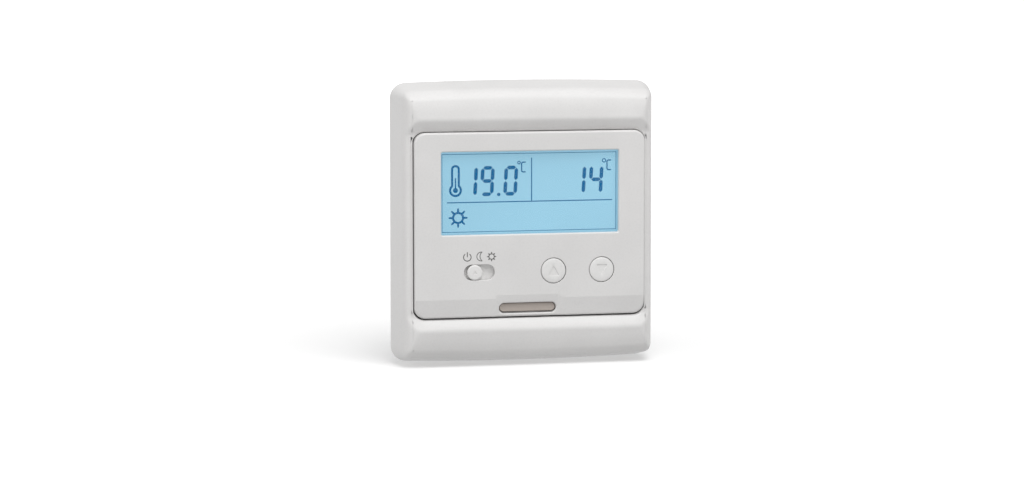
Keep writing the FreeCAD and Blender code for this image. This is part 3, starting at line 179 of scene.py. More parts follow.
def noise(nodes, links, vector, scale, detail=2.0, roughness=0.5):
    """A noise pattern with features about 1 / scale metres wide."""
    pattern = add_node(
        nodes, "ShaderNodeTexNoise", {"Scale": scale, "Detail": detail, "Roughness": roughness},
    )
    links.new(vector, pattern.inputs["Vector"])
    return pattern.outputs["Fac"]


def ramp(nodes, links, factor, stops):
    """A colour ramp over the factor, from (position, colour) stops."""
    band = nodes.new("ShaderNodeValToRGB")
    elements = band.color_ramp.elements
    while len(elements) < len(stops):
        elements.new(0.5)
    for element, (position, value) in zip(elements, stops):
        element.position = position
        element.color = (*value, 1.0)
    links.new(factor, band.inputs["Fac"])
    return band.outputs["Color"]


def spread(nodes, links, factor, low, high):
    """The factor mapped from the middle of its range to low..high."""
    mapped = add_node(
        nodes, "ShaderNodeMapRange", {"From Min": 0.3, "From Max": 0.7, "To Min": low, "To Max": high},
    )
    links.new(factor, mapped.inputs["Value"])
    return mapped.outputs["Result"]


def bump(nodes, links, height, distance, strength=1.0, below=None):
    """A bump from a height pattern, over another normal where one is given."""
    relief = add_node(nodes, "ShaderNodeBump", {"Distance": distance, "Strength": strength})
    links.new(height, relief.inputs["Height"])
    if below is not None:
        links.new(below, relief.inputs["Normal"])
    return relief.outputs["Normal"]


def shade(tone, factor):
    """A colour made lighter or darker, kept under white."""
    return tuple(min(1.0, channel * factor) for channel in tone)


def moulded_plastic(
    name, tone, rough=0.42, grain=2600.0, depth=0.000012, variation=0.03, sheen=0.0,
):
    """Moulded plastic: fine grain, faint flow clouds in its colour, and an uneven gloss."""
    material, nodes, links, shader = tree(name)
    vector = object_place(nodes, links)
    clouds = noise(nodes, links, vector, 55.0, 3.0)
    specks = noise(nodes, links, vector, 1500.0, 1.0)
    tones = ramp(nodes, links, clouds, [
        (0.30, shade(tone, 1.0 - variation)), (0.52, tone), (0.72, shade(tone, 1.0 + variation)),
    ])
    mixed = add_node(
        nodes, "ShaderNodeMix", {"Factor": 0.5}, data_type="RGBA", blend_type="MULTIPLY",
    )
    links.new(tones, mixed.inputs["A"])
    links.new(ramp(nodes, links, specks, [(0.30, (0.95,) * 3), (0.55, (1.0,) * 3)]), mixed.inputs["B"])
    links.new(mixed.outputs["Result"], shader.inputs["Base Color"])
    links.new(spread(nodes, links, clouds, rough - 0.05, rough + 0.06), shader.inputs["Roughness"])
    flow = bump(nodes, links, clouds, 0.00006, 0.25)
    fine = bump(nodes, links, noise(nodes, links, vector, grain, 3.0, 0.6), depth, 1.0, flow)
    links.new(fine, shader.inputs["Normal"])
    shader.inputs["Specular IOR Level"].default_value = 0.45
    shader.inputs["Sheen Weight"].default_value = sheen
    return material


def lit_display(name, tone, glow):
    """The display's background: backlit blue, with faint clouds in its brightness."""
    material, nodes, links, shader = tree(name)
    vector = object_place(nodes, links)
    cloud = noise(nodes, links, vector, 35.0, 1.0)
    cells = noise(nodes, links, vector, 2400.0, 1.0)
    body = ramp(nodes, links, cloud, [(0.25, shade(tone, 0.48)), (0.75, shade(tone, 0.52))])
    light = ramp(nodes, links, cloud, [(0.25, shade(tone, 0.97)), (0.75, shade(tone, 1.03))])
    links.new(body, shader.inputs["Base Color"])
    links.new(light, shader.inputs["Emission Color"])
    shader.inputs["Emission Strength"].default_value = glow
    links.new(spread(nodes, links, cells, 0.30, 0.40), shader.inputs["Roughness"])
    links.new(bump(nodes, links, cells, 0.000004, 0.5), shader.inputs["Normal"])
    shader.inputs["Specular IOR Level"].default_value = 0.2
    return material


def clear_pane(name):
    """The clear window: it shows what is behind it, with a faint reflection and fine hairlines."""
    material, nodes, links, shader = tree(name)
    vector = object_place(nodes, links, (1.0, 1.0, 14.0))
    hairs = noise(nodes, links, vector, 700.0, 4.0, 0.7)
    nodes.remove(shader)
    clear = add_node(nodes, "ShaderNodeBsdfTransparent", {"Color": (0.985, 0.99, 0.992, 1.0)})
    gloss = add_node(nodes, "ShaderNodeBsdfGlossy", {"Color": (1.0, 1.0, 1.0, 1.0)})
    links.new(spread(nodes, links, hairs, 0.05, 0.12), gloss.inputs["Roughness"])
    links.new(bump(nodes, links, hairs, 0.0000004, 0.2), gloss.inputs["Normal"])
    facing = add_node(nodes, "ShaderNodeLayerWeight", {"Blend": 0.07})
    share = add_node(nodes, "ShaderNodeMapRange", {"To Min": 0.004, "To Max": 0.85})
    links.new(facing.outputs["Facing"], share.inputs["Value"])
    both = nodes.new("ShaderNodeMixShader")
    links.new(share.outputs["Result"], both.inputs["Fac"])
    links.new(clear.outputs["BSDF"], both.inputs[1])
    links.new(gloss.outputs["BSDF"], both.inputs[2])
    links.new(both.outputs["Shader"], nodes["Material Output"].inputs["Surface"])
    return material


def metal(name, tone, rough=0.32, stretch=(1.0, 1.0, 18.0), scale=900.0, spangle=0.0):
    """Metal with fine drawn lines, or with the spangles of a galvanised sheet."""
    material, nodes, links, shader = tree(name)
    shader.inputs["Metallic"].default_value = 1.0
    lines = noise(nodes, links, object_place(nodes, links, stretch), scale, 3.0, 0.6)
    if spangle:
        cells = add_node(nodes, "ShaderNodeTexVoronoi", {"Scale": spangle})
        links.new(object_place(nodes, links), cells.inputs["Vector"])
        grey = nodes.new("ShaderNodeRGBToBW")
        links.new(cells.outputs["Color"], grey.inputs["Color"])
        factor = grey.outputs["Val"]
    else:
        factor = lines
    tones = ramp(nodes, links, factor, [
        (0.2, shade(tone, 0.82)), (0.5, tone), (0.85, shade(tone, 1.12)),
    ])
    links.new(tones, shader.inputs["Base Color"])
    links.new(spread(nodes, links, factor, rough - 0.07, rough + 0.10), shader.inputs["Roughness"])
    links.new(bump(nodes, links, lines, 0.000006, 0.6), shader.inputs["Normal"])
    return material


def board_lacquer(name, tone):
    """A circuit board: green lacquer over lighter copper runs, with small plated holes."""
    material, nodes, links, shader = tree(name)
    vector = object_place(nodes, links)
    runs = add_node(nodes, "ShaderNodeTexBrick", {
        "Scale": 170.0, "Mortar Size": 0.045, "Mortar Smooth": 0.3, "Brick Width": 0.9, "Row Height": 0.22,
        "Color1": (*shade(tone, 0.90), 1.0), "Color2": (*shade(tone, 1.10), 1.0),
        "Mortar": (*shade(tone, 2.0), 1.0),
    })
    turn = add_node(nodes, "ShaderNodeMapping", {"Rotation": (math.radians(90), 0.0, 0.0)})
    links.new(vector, turn.inputs["Vector"])
    links.new(turn.outputs["Vector"], runs.inputs["Vector"])
    holes = add_node(nodes, "ShaderNodeTexVoronoi", {"Scale": 260.0})
    links.new(vector, holes.inputs["Vector"])
    ring = ramp(nodes, links, holes.outputs["Distance"], [(0.10, (1.0,) * 3), (0.13, (0.0,) * 3)])
    mixed = add_node(nodes, "ShaderNodeMix", data_type="RGBA")
    mixed.inputs["B"].default_value = (0.42, 0.36, 0.20, 1.0)
    links.new(ring, mixed.inputs["Factor"])
    links.new(runs.outputs["Color"], mixed.inputs["A"])
    links.new(mixed.outputs["Result"], shader.inputs["Base Color"])
    cloth = noise(nodes, links, vector, 900.0, 2.0)
    links.new(spread(nodes, links, cloth, 0.24, 0.36), shader.inputs["Roughness"])
    raised = bump(nodes, links, runs.outputs["Fac"], 0.00004, 0.8)
    links.new(bump(nodes, links, cloth, 0.00001, 0.5, raised), shader.inputs["Normal"])
    return material


FINISHES = {}

# Plastics whose colour stays as it is: name, colour, roughness, grain, depth and variation
FIXED_PLASTICS = {
    "black": ("chip_black", (0.018, 0.018, 0.020), 0.50, 2200.0, 0.00003, 0.2),
    "relay": ("relay_blue", (0.020, 0.075, 0.32), 0.34, 1800.0, 0.00002, 0.12),
    "film": ("film_yellow", (0.52, 0.38, 0.045), 0.36, 1500.0, 0.00002, 0.10),
    "sleeve": ("capacitor_sleeve", (0.012, 0.016, 0.035), 0.28, 900.0, 0.00002, 0.2),
    "lacquer": ("varistor_lacquer", (0.018, 0.070, 0.36), 0.30, 700.0, 0.00006, 0.15),
    "ceramic": ("fuse_ceramic", (0.62, 0.59, 0.50), 0.30, 1100.0, 0.00002, 0.06),
    "rubber": ("strip_rubber", (0.36, 0.20, 0.22), 0.70, 1300.0, 0.00003, 0.12),
    "resin": ("lamp_resin", (0.80, 0.84, 0.80), 0.18, 800.0, 0.00001, 0.04),
}


def finish(name):
    """The finish of that name, made on first use."""
    if name in FINISHES:
        return FINISHES[name]
    tones = colours()
    makers = {
        "shell": lambda: moulded_plastic("shell_plastic", tones.shell, 0.40),
        "keys": lambda: moulded_plastic("key_plastic", tones.keys, 0.36, depth=0.000008),
        "frosted": lambda: moulded_plastic("frosted_acrylic", (0.80, 0.88, 0.92), 0.55, sheen=0.1),
        "ink": lambda: moulded_plastic("symbol_ink", tones.ink, 0.6, 3500.0, 0.000005, 0.10),
        "latch": lambda: moulded_plastic("latch_plastic", tones.latch, 0.38, 1800.0, 0.00002, 0.06),
        "housing": lambda: moulded_plastic("housing_plastic", tones.housing, 0.50, 1600.0, 0.00003, 0.05),
        "terminal": lambda: moulded_plastic(
            "terminal_plastic", tones.terminal, 0.45, 1500.0, 0.00003, 0.12,
        ),
        "board": lambda: board_lacquer("board_lacquer", tones.board),
        "display": lambda: lit_display("display_light", tones.display, 0.60),
        "segment": lambda: lit_display("display_segment", tones.segment, 0.50),
        "window": lambda: clear_pane("clear_window"),
        "zinc": lambda: metal("zinc_sheet", (0.62, 0.64, 0.66), 0.40, (1.0, 1.0, 1.0), 700.0, 420.0),
        "steel": lambda: metal("screw_steel", (0.66, 0.66, 0.67), 0.28, (9.0, 1.0, 1.0), 1500.0),
        "can": lambda: metal("metal_can", (0.72, 0.72, 0.73), 0.26, (1.0, 10.0, 1.0), 900.0),
        "brass": lambda: metal("plated_brass", (0.75, 0.56, 0.25), 0.30, (1.0, 6.0, 1.0), 1200.0),
    }
    if name in FIXED_PLASTICS:
        FINISHES[name] = moulded_plastic(*FIXED_PLASTICS[name])
    else:
        FINISHES[name] = makers[name]()
    return FINISHES[name]


# Shared modelling

def outline(half_width, half_height, corner, bow=0.0, arc=8, runs=(24, 20)):
    """Points round a rounded rectangle, anticlockwise from the right end of its top edge."""
    inner_x, inner_z = half_width - corner, half_height - corner
    centres = [(inner_x, inner_z), (-inner_x, inner_z), (-inner_x, -inner_z), (inner_x, -inner_z)]
    points = []
    for turn, (x, z) in enumerate(centres):
        for step in range(arc + 1):
            angle = math.pi / 2 * (turn + step / arc)
            points.append((x + corner * math.cos(angle), z + corner * math.sin(angle)))
        start = points[-1]
        next_x, next_z = centres[(turn + 1) % 4]
        angle = math.pi / 2 * (turn + 1)
        end = (next_x + corner * math.cos(angle), next_z + corner * math.sin(angle))
        cuts = runs[turn % 2]
        for step in range(1, cuts):
            share = step / cuts
            points.append(tuple(a + share * (b - a) for a, b in zip(start, end)))
    if bow:
        points = [(x, z * (1.0 - bow * (x / half_width) ** 2 / half_height)) for x, z in points]
    return points


def circle(radius, count=48):
    """Points round a circle, anticlockwise from the front."""
    return [
        (radius * math.cos(2 * math.pi * step / count), radius * math.sin(2 * math.pi * step / count))
        for step in range(count)
    ]


def moved(points, x, z):
    """The points moved sideways and up."""
    return [(px + x, pz + z) for px, pz in points]


def at_level(points, level, x=0.0, z=0.0):
    """The points as places at one level in front of the wall."""
    return [Vector((px + x, -level, pz + z)) for px, pz in points]


def ring_edges(bm, ring):
    """The edges of a closed ring of vertices."""
    return [bm.edges.get((first, second)) for first, second in zip(ring, ring[1:] + ring[:1])]


def sweep(bm, sections, closed=False):
    """Draws a ring at the first section and extrudes it through the others. Returns every ring."""
    made = bmesh.ops.create_circle(bm, cap_ends=False, segments=len(sections[0]), radius=1.0)["verts"]
    ring = sorted(made, key=lambda vertex: math.atan2(vertex.co.y, vertex.co.x))
    for vertex, place in zip(ring, sections[0]):
        vertex.co = place
    rings = [ring]
    for section in sections[1:]:
        made = bmesh.ops.extrude_edge_only(bm, edges=ring_edges(bm, ring))["geom"]
        fresh = {item for item in made if isinstance(item, bmesh.types.BMVert)}
        ring = [
            next(edge.other_vert(vertex) for edge in vertex.link_edges if edge.other_vert(vertex) in fresh)
            for vertex in ring
        ]
        for vertex, place in zip(ring, section):
            vertex.co = place
        rings.append(ring)
    if closed:
        bmesh.ops.bridge_loops(bm, edges=ring_edges(bm, rings[0]) + ring_edges(bm, rings[-1]))
    return rings


def fill(bm, rings):
    """Fills the flat region between rings that lie at one level."""
    edges = [edge for ring in rings for edge in ring_edges(bm, ring)]
    bmesh.ops.triangle_fill(bm, edges=edges, use_beauty=True, use_dissolve=False, normal=(0.0, -1.0, 0.0))


def quarter(rounding, steps=5):
    """(inset, drop) pairs down a rounded edge, from its flat top to its side."""
    turns = [math.pi / 2 * step / steps for step in range(steps + 1)]
    return [(rounding * (1 - math.sin(turn)), rounding * (1 - math.cos(turn))) for turn in turns]


def block(bm, low, high, rounding=0.15):
    """A box between two corners in millimetres, with bevelled edges."""
    low, high = Vector(low), Vector(high)
    made = bmesh.ops.create_cube(bm, size=1.0)["verts"]
    bmesh.ops.scale(bm, vec=high - low, verts=made)
    bmesh.ops.translate(bm, vec=(low + high) / 2, verts=made)
    edges = list({edge for vertex in made for edge in vertex.link_edges})
    bmesh.ops.bevel(
        bm, geom=edges, offset=rounding, offset_type="OFFSET", segments=2,
        profile=0.5, affect="EDGES", material=-1, clamp_overlap=True,
    )


def turned(bm, profile, x, z, steps=40):
    """Spins a profile of (radius, level) points round an axis that faces the front."""
    vertices = [bm.verts.new((x + radius, -level, z)) for radius, level in profile]
    edges = [bm.edges.new(pair) for pair in zip(vertices, vertices[1:])]
    bmesh.ops.spin(
        bm, geom=vertices + edges, cent=(x, 0.0, z), axis=(0.0, 1.0, 0.0),
        angle=2 * math.pi, steps=steps, use_merge=True, use_normal_flip=False, use_duplicate=False,
    )


def wire_line(bm, points, width, level, closed=False, flat=0.05):
    """A flat line of even width along (x, z) points, drawn as a curve and made a mesh."""
    data = bpy.data.curves.new("line", "CURVE")
    data.dimensions = "3D"
    data.bevel_depth = width / 2
    data.bevel_resolution = 2
    data.use_fill_caps = True
    spline = data.splines.new("POLY")
    spline.points.add(len(points) - 1)
    for point, (x, z) in zip(spline.points, points):
        point.co = (x, 0.0, z, 1.0)
    spline.use_cyclic_u = closed
    drawn = bpy.data.objects.new("line", data)
    mesh = bpy.data.meshes.new_from_object(drawn)
    flatten = Matrix.Diagonal((1.0, flat / width, 1.0, 1.0))
    mesh.transform(Matrix.Translation((0.0, -level, 0.0)) @ flatten)
    bm.from_mesh(mesh)
    bpy.data.objects.remove(drawn)
    bpy.data.curves.remove(data)
    bpy.data.meshes.remove(mesh)


def plate_of(bm, points, level, thick):
    """A thin flat plate with the outline of the (x, z) points."""
    face = bm.faces.new([bm.verts.new((x, -level, z)) for x, z in points])
    made = bmesh.ops.extrude_face_region(bm, geom=[face])["geom"]
    lifted = [item for item in made if isinstance(item, bmesh.types.BMVert)]
    bmesh.ops.translate(bm, vec=(0.0, -thick, 0.0), verts=lifted)


def arc_points(x, z, radius, start, end, steps=16):
    """Points along an arc, with its angles in degrees."""
    points = []
    for step in range(steps + 1):
        angle = math.radians(start + (end - start) * step / steps)
        points.append((x + radius * math.cos(angle), z + radius * math.sin(angle)))
    return points


def finish_piece(bm, name, body, material, replaced=(), sharp=38.0, weighted=True):
    """Turns the bmesh, drawn in millimetres, into a piece that rides on a body."""
    bmesh.ops.remove_doubles(bm, verts=bm.verts, dist=0.0005)
    bmesh.ops.recalc_face_normals(bm, faces=bm.faces)
    bmesh.ops.scale(bm, vec=(MM, MM, MM), verts=bm.verts)
    mesh = bpy.data.meshes.new(name)
    bm.to_mesh(mesh)
    bm.free()
    mesh.shade_smooth()
    mesh.set_sharp_from_angle(angle=math.radians(sharp))
    mesh.materials.append(material)
    piece = bpy.data.objects.new(name, mesh)
    bpy.context.scene.collection.objects.link(piece)
    if weighted:
        evened = piece.modifiers.new("even_normals", "WEIGHTED_NORMAL")
        evened.keep_sharp = True
    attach(piece, body)
    if replaced:
        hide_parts(*replaced)
    return piece


def smooth_by_angle():
    """A node group that smooths a mesh except where its faces meet at a sharp angle."""
    name = "smooth_but_sharp_edges"
    if name in bpy.data.node_groups:
        return bpy.data.node_groups[name]
    group = bpy.data.node_groups.new(name, "GeometryNodeTree")
    group.interface.new_socket("Geometry", in_out="INPUT", socket_type="NodeSocketGeometry")
    group.interface.new_socket("Geometry", in_out="OUTPUT", socket_type="NodeSocketGeometry")
    nodes, links = group.nodes, group.links
    start, end = nodes.new("NodeGroupInput"), nodes.new("NodeGroupOutput")
    faces = nodes.new("GeometryNodeSetShadeSmooth")
    faces.domain = "FACE"
    edges = nodes.new("GeometryNodeSetShadeSmooth")
    edges.domain = "EDGE"
    edges.inputs["Shade Smooth"].default_value = False
    angle = nodes.new("GeometryNodeInputMeshEdgeAngle")
    compare = nodes.new("FunctionNodeCompare")
    compare.operation = "GREATER_THAN"
    compare.inputs["B"].default_value = math.radians(32)
    links.new(start.outputs[0], faces.inputs["Geometry"])
    links.new(faces.outputs["Geometry"], edges.inputs["Geometry"])
    links.new(angle.outputs["Unsigned Angle"], compare.inputs["A"])
    links.new(compare.outputs["Result"], edges.inputs["Selection"])
    links.new(edges.outputs["Geometry"], end.inputs[0])
    return group


def dress(name, material, rounding=0.12):
    """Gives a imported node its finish, and softens its edges with live modifiers."""
    node = NODES[name]
    node.data.materials.clear()
    node.data.materials.append(material)
    weld = node.modifiers.new("joined", "WELD")
    weld.merge_threshold = 1e-6
    flat = node.modifiers.new("whole_faces", "DECIMATE")
    flat.decimate_type = "DISSOLVE"
    flat.angle_limit = math.radians(0.5)
    soften(node, rounding, 50)


def soften(thing, rounding, limit):
    """Softens an object's edges that are sharper than the limit, with live modifiers."""
    soft = thing.modifiers.new("soft_edges", "BEVEL")
    soft.width = rounding * MM
    soft.segments = 2
    soft.limit_method = "ANGLE"
    soft.angle_limit = math.radians(limit)
    soft.use_clamp_overlap = True
    smooth = thing.modifiers.new("smooth", "NODES")
    smooth.node_group = smooth_by_angle()
    evened = thing.modifiers.new("even_normals", "WEIGHTED_NORMAL")
    evened.keep_sharp = True


# Outer frame

LEAN = 0.21              # how far the outer sides lean inwards, for each unit forwards
CREST_GAP = 3.5          # from the cover's opening to a ridge's crest
RIDGE_FOOT = 1.0         # how far inside the opening's edge a ridge starts to rise
RIDGE_MIDDLE = 0.70      # the level halfway down a ridge, as a share from shoulder to crest
FALL_RISE = 0.3          # how far the curve at the sides starts above the crest
FUNNEL_RISE = 0.15       # the level at the opening's edge, above the side bars
FUNNEL_WIDTH = 3.1       # the width over which it rises to the crest
POCKET_SHIFT = 0.15      # how far the opening reaches below the cover's own gap
POCKET_RIM = 0.45        # rounding of the opening's front edge
LIP_BACK, LIP_FRONT = 5.0, 6.8
LIP_WIDTH = 2.8
SKIRT_WALL, SKIRT_STEP = 2.0, 1.15
CAVITY_FRONT = 10.4


def soft_least(first, second, blend):
    """The smaller of two heights, rounded where they cross."""
    share = max(blend - abs(first - second), 0.0) / blend
    return min(first, second) - share * share * blend / 4


def soft_most(first, second, blend):
    """The larger of two heights, rounded where they cross."""
    return -soft_least(-first, -second, blend)


def outside_pocket(x, z, half_width, half_height, corner):
    """How far a place lies outside the rounded opening for the cover."""
    over_x = abs(x) - (half_width - corner)
    over_z = abs(z) - (half_height - corner)
    outer = math.hypot(max(over_x, 0.0), max(over_z, 0.0))
    return outer + min(max(over_x, over_z), 0.0) - corner


def frame_surface(x, z):
    """The level of the frame's front at a place."""
    s = sizes()
    side, crest, shoulder = s.side_level / MM, s.crest_level / MM, s.shoulder_level / MM
    gap, corner = s.cover_gap / MM, s.cover_corner / MM
    half_w, half_h = COVER_HIGH.x + gap, COVER_HIGH.z + gap
    edge_x, edge_z = FRAME_HIGH.x - LEAN * shoulder, FRAME_HIGH.z - LEAN * shoulder
    crest_z = half_h + CREST_GAP
    foot_z = half_h - RIDGE_FOOT
    middle_z = (edge_z + crest_z) / 2
    middle = shoulder + RIDGE_MIDDLE * (crest - shoulder)
    away = abs(z)
    rise = side + (away - foot_z) * (crest - side) / (crest_z - foot_z)
    shallow = crest - (away - crest_z) * (crest - middle) / (middle_z - crest_z)
    steep = middle - (away - middle_z) * (middle - shoulder) / (edge_z - middle_z)
    ridge = soft_least(rise, soft_least(shallow, steep, 0.5), 0.42)
    height = soft_most(side, ridge, 0.25)
    width, deep = s.side_fall / MM, crest + FALL_RISE - shoulder
    radius = (width ** 2 + deep ** 2) / (2 * deep)
    run = max(abs(x) - (edge_x - width), 0.0)
    fall = crest + FALL_RISE - radius + math.sqrt(radius ** 2 - min(run, radius) ** 2)
    height = soft_least(height, fall, 0.3)
    away = outside_pocket(x, z, half_w, half_h, corner + gap)
    funnel = side + FUNNEL_RISE + max(away, 0.0) * (crest - side) / FUNNEL_WIDTH
    return soft_least(height, funnel, 0.2)


def frame_sections():
    """The rings of the frame's wall: its front, its rounded edge, its cavity, its skirt and its lip."""
    s = sizes()
    gap, corner, bow = s.cover_gap / MM, s.cover_corner / MM + s.cover_gap / MM, s.frame_bow / MM
    half_w, half_h = COVER_HIGH.x + gap, COVER_HIGH.z + gap
    edge_x, edge_z, big = FRAME_HIGH.x, FRAME_HIGH.z, s.frame_corner / MM
    rounding, shoulder = s.frame_rounding / MM, s.shoulder_level / MM
    counts = {"arc": 12, "runs": (110, 120)}

    def pocket(grow):
        points = outline(half_w + grow, half_h - POCKET_SHIFT + grow, corner + grow, **counts)
        return moved(points, 0.0, -POCKET_SHIFT)

    def edge(level, inset=0.0):
        inset += LEAN * level
        return outline(edge_x - inset, edge_z - inset, big - inset, bow, **counts)

    def draped(points, drop=0.0):
        return [Vector((x, drop - frame_surface(x, z), z)) for x, z in points]

    sections = [at_level(pocket(0.0), LIP_FRONT), at_level(pocket(0.0), 9.5)]
    for inset, drop in reversed(quarter(POCKET_RIM, 4)):
        sections.append(draped(pocket(inset), drop))
    near, far = pocket(POCKET_RIM), edge(shoulder, rounding)
    steps = 26
    for step in range(1, steps):
        share = step / steps
        between = [(a + share * (c - a), b + share * (d - b)) for (a, b), (c, d) in zip(near, far)]
        sections.append(draped(between))
    for inset, drop in quarter(rounding, 8):
        sections.append(draped(edge(shoulder - drop, inset), drop))
    sections.append(at_level(edge(6.0), 6.0))
    sections.append(at_level(edge(0.25), 0.25))
    sections.append(at_level(edge(0.0, 0.25), 0.0))
    inner = outline(edge_x - SKIRT_WALL, edge_z - bow - SKIRT_WALL, big - SKIRT_WALL, **counts)
    cavity_top = edge_z - bow - SKIRT_WALL - LEAN * CAVITY_FRONT
    cavity = outline(half_w + 1.65, cavity_top, corner + 1.5, **counts)
    lip = outline(half_w - LIP_WIDTH, half_h - LIP_WIDTH, s.cover_corner / MM - 1.0, **counts)
    for points, level in (
        (inner, 0.0), (inner, SKIRT_STEP), (cavity, SKIRT_STEP), (cavity, CAVITY_FRONT),
        (pocket(1.5), CAVITY_FRONT), (pocket(1.5), SKIRT_STEP), (pocket(0.0), SKIRT_STEP),
        (pocket(0.0), LIP_BACK), (lip, LIP_BACK), (lip, LIP_FRONT),
    ):
        sections.append(at_level(points, level))
    return sections


class THERMOSTAT_OT_outer_frame(bpy.types.Operator):
    """Builds the white frame with its two ridges, low sides and bowed edges"""

    bl_idname = "thermostat.outer_frame"
    bl_label = "Outer Frame"

    def execute(self, context):
        bm = bmesh.new()
        sweep(bm, frame_sections(), closed=True)
        finish_piece(bm, "frame_shell", "frame", finish("shell"), ["outer_frame"])
        return {"FINISHED"}


# Front cover

WINDOW_MARGIN = 6.175    # from the cover's upper edge to the window
SLIDER_X, SLIDER_Z = -16.65, -15.0
SLIDER_HALF_W, SLIDER_HALF_H = 5.0, 2.5
RELEASE_X, RELEASE_Z = -0.8, -26.8
RELEASE_HALF_W, RELEASE_HALF_H = 9.3, 1.675
STRIP_HEIGHT = 6.0       # height of the cover's lower strip, which bends back
STRIP_DROP = 1.25        # how far its lower edge lies back
STRIP_REAR = 13.2        # only what stands in front of this level bends
BEND_Z = COVER_LOW.z + STRIP_HEIGHT
SCOOP_RISE = 1.1         # how much higher the bend is over the release slot
SCOOP_HALF_W, SCOOP_END = 10.6, 0.9
POST_X, POST_TOP, POST_FOOT = 32.6, 18.0, -21.0
POST_PROFILE = [(0.0, 13.2), (2.0, 13.2), (2.0, 9.1), (1.8, 9.0), (1.1, 9.0), (1.1, 12.5), (0.0, 12.5)]


def slot_shape(half_width, half_height, x, z, **counts):
    """A slot with round ends, as a function of how far it is grown."""
    def points_at(grow):
        corner = half_height - 0.001 + grow
        return moved(outline(half_width + grow, half_height + grow, corner, **counts), x, z)
    return points_at


def hole_sections(points_at, front, back, rounding):
    """The rings of an opening's wall, from its rounded front edge to its back."""
    sections = []
    for inset, drop in quarter(rounding, 3):
        sections.append(at_level(points_at(inset), front - drop))
    sections.append(at_level(points_at(0.0), back))
    return sections


def cover_openings():
    """Each opening in the cover: its shape when grown, its back level and its rim's rounding."""
    s = sizes()
    rim, window_rim, slot_rim = s.hole_rounding / MM, s.window_rounding / MM, s.latch_rounding / MM
    thin, thick = 13.1, 12.0
    window_w, window_h = s.window_width / MM / 2, s.window_height / MM / 2
    window_z = COVER_HIGH.z - WINDOW_MARGIN - window_h
    hole = s.button_size / MM / 2 + 0.15
    openings = [(
        lambda grow: moved(outline(window_w + grow, window_h + grow, 0.5 + grow, arc=5), 0.0, window_z),
        thin, window_rim,
    )]
    for node in ("up_button", "down_button"):
        low, high = box_mm(node)
        x, z = (low.x + high.x) / 2, (low.z + high.z) / 2
        openings.append((lambda grow, x=x, z=z: moved(circle(hole + grow, 56), x, z), thin, rim))
    slider = slot_shape(SLIDER_HALF_W, SLIDER_HALF_H, SLIDER_X, SLIDER_Z, arc=12, runs=(6, 1))
    release = slot_shape(RELEASE_HALF_W, RELEASE_HALF_H, RELEASE_X, RELEASE_Z, arc=10, runs=(12, 1))
    return openings + [(slider, thin, rim), (release, thick, slot_rim)]


def bend_line(x):
    """The height where the cover bends back: a little higher over the release slot, as a shallow scoop."""
    share = (SCOOP_HALF_W - abs(x - RELEASE_X)) / SCOOP_END
    return BEND_Z + SCOOP_RISE * min(max(share, 0.0), 1.0)


def bend_lower_strip(bm):
    """Bends the cover's lower strip back from the bend line."""
    flat = SCOOP_HALF_W - SCOOP_END
    cuts = [((0.0, 0.0, z), (0.0, 0.0, 1.0)) for z in (BEND_Z, BEND_Z + SCOOP_RISE)]
    for side in (-SCOOP_HALF_W, -flat, flat, SCOOP_HALF_W):
        cuts.append(((RELEASE_X + side, 0.0, 0.0), (1.0, 0.0, 0.0)))
    for place, normal in cuts:
        bmesh.ops.bisect_plane(
            bm, geom=bm.verts[:] + bm.edges[:] + bm.faces[:], dist=0.0005, plane_co=place, plane_no=normal,
        )
    bmesh.ops.triangulate(bm, faces=[face for face in bm.faces if len(face.verts) > 4])
    for vertex in bm.verts:
        below = bend_line(vertex.co.x) - vertex.co.z
        if below > 0.0 and -vertex.co.y > STRIP_REAR:
            vertex.co.y += STRIP_DROP / STRIP_HEIGHT * below


def sharpen_bend(mesh):
    """Keeps the cover's bend line as a crease."""
    for edge in mesh.edges:
        ends = [mesh.vertices[index].co / MM for index in edge.vertices]
        if all(abs(end.z - bend_line(end.x)) < 0.01 and -end.y > STRIP_REAR for end in ends):
            edge.use_edge_sharp = True


class THERMOSTAT_OT_front_cover(bpy.types.Operator):
    """Builds the front cover with its window, button holes, slider slot and release slot"""

    bl_idname = "thermostat.front_cover"
    bl_label = "Front Cover"

    def execute(self, context):
        s = sizes()
        half_w, half_h, corner = COVER_HIGH.x, COVER_HIGH.z, s.cover_corner / MM
        front, back, rounding = -COVER_LOW.y, -COVER_HIGH.y, s.cover_rounding / MM
        counts = {"arc": 10, "runs": (30, 24)}
        bm = bmesh.new()
        inner = outline(half_w - 1.4, half_h - 1.4, corner - 1.4, **counts)
        sections = [at_level(inner, front - 1.6), at_level(inner, back + 0.15)]
        sections.append(at_level(outline(half_w - 1.25, half_h - 1.25, corner - 1.25, **counts), back))
        sections.append(at_level(outline(half_w - 0.15, half_h - 0.15, corner - 0.15, **counts), back))
        sections.append(at_level(outline(half_w, half_h, corner, **counts), back + 0.15))
        for inset, drop in reversed(quarter(rounding, 6)):
            rim = outline(half_w - inset, half_h - inset, corner - inset, **counts)
            sections.append(at_level(rim, front - drop))
        rings = sweep(bm, sections)
        fronts, backs = [rings[-1]], [rings[0]]
        for points_at, level, rim in cover_openings():
            hole = sweep(bm, hole_sections(points_at, front, level, rim))
            fronts.append(hole[0])
            backs.append(hole[-1])
        fill(bm, fronts)
        fill(bm, backs)
        bend_lower_strip(bm)
        for z in (POST_TOP, POST_FOOT):
            for x in (-POST_X, POST_X):
                turned(bm, POST_PROFILE, x, z, 24)
        shell = finish_piece(bm, "cover_shell", "front", finish("shell"), ["front_cover"])
        sharpen_bend(shell.data)
        return {"FINISHED"}


# Display

DIGIT_SEGMENTS = {
    "0": "abcdef", "1": "bc", "4": "bcfg", "9": "abcdfg",
}
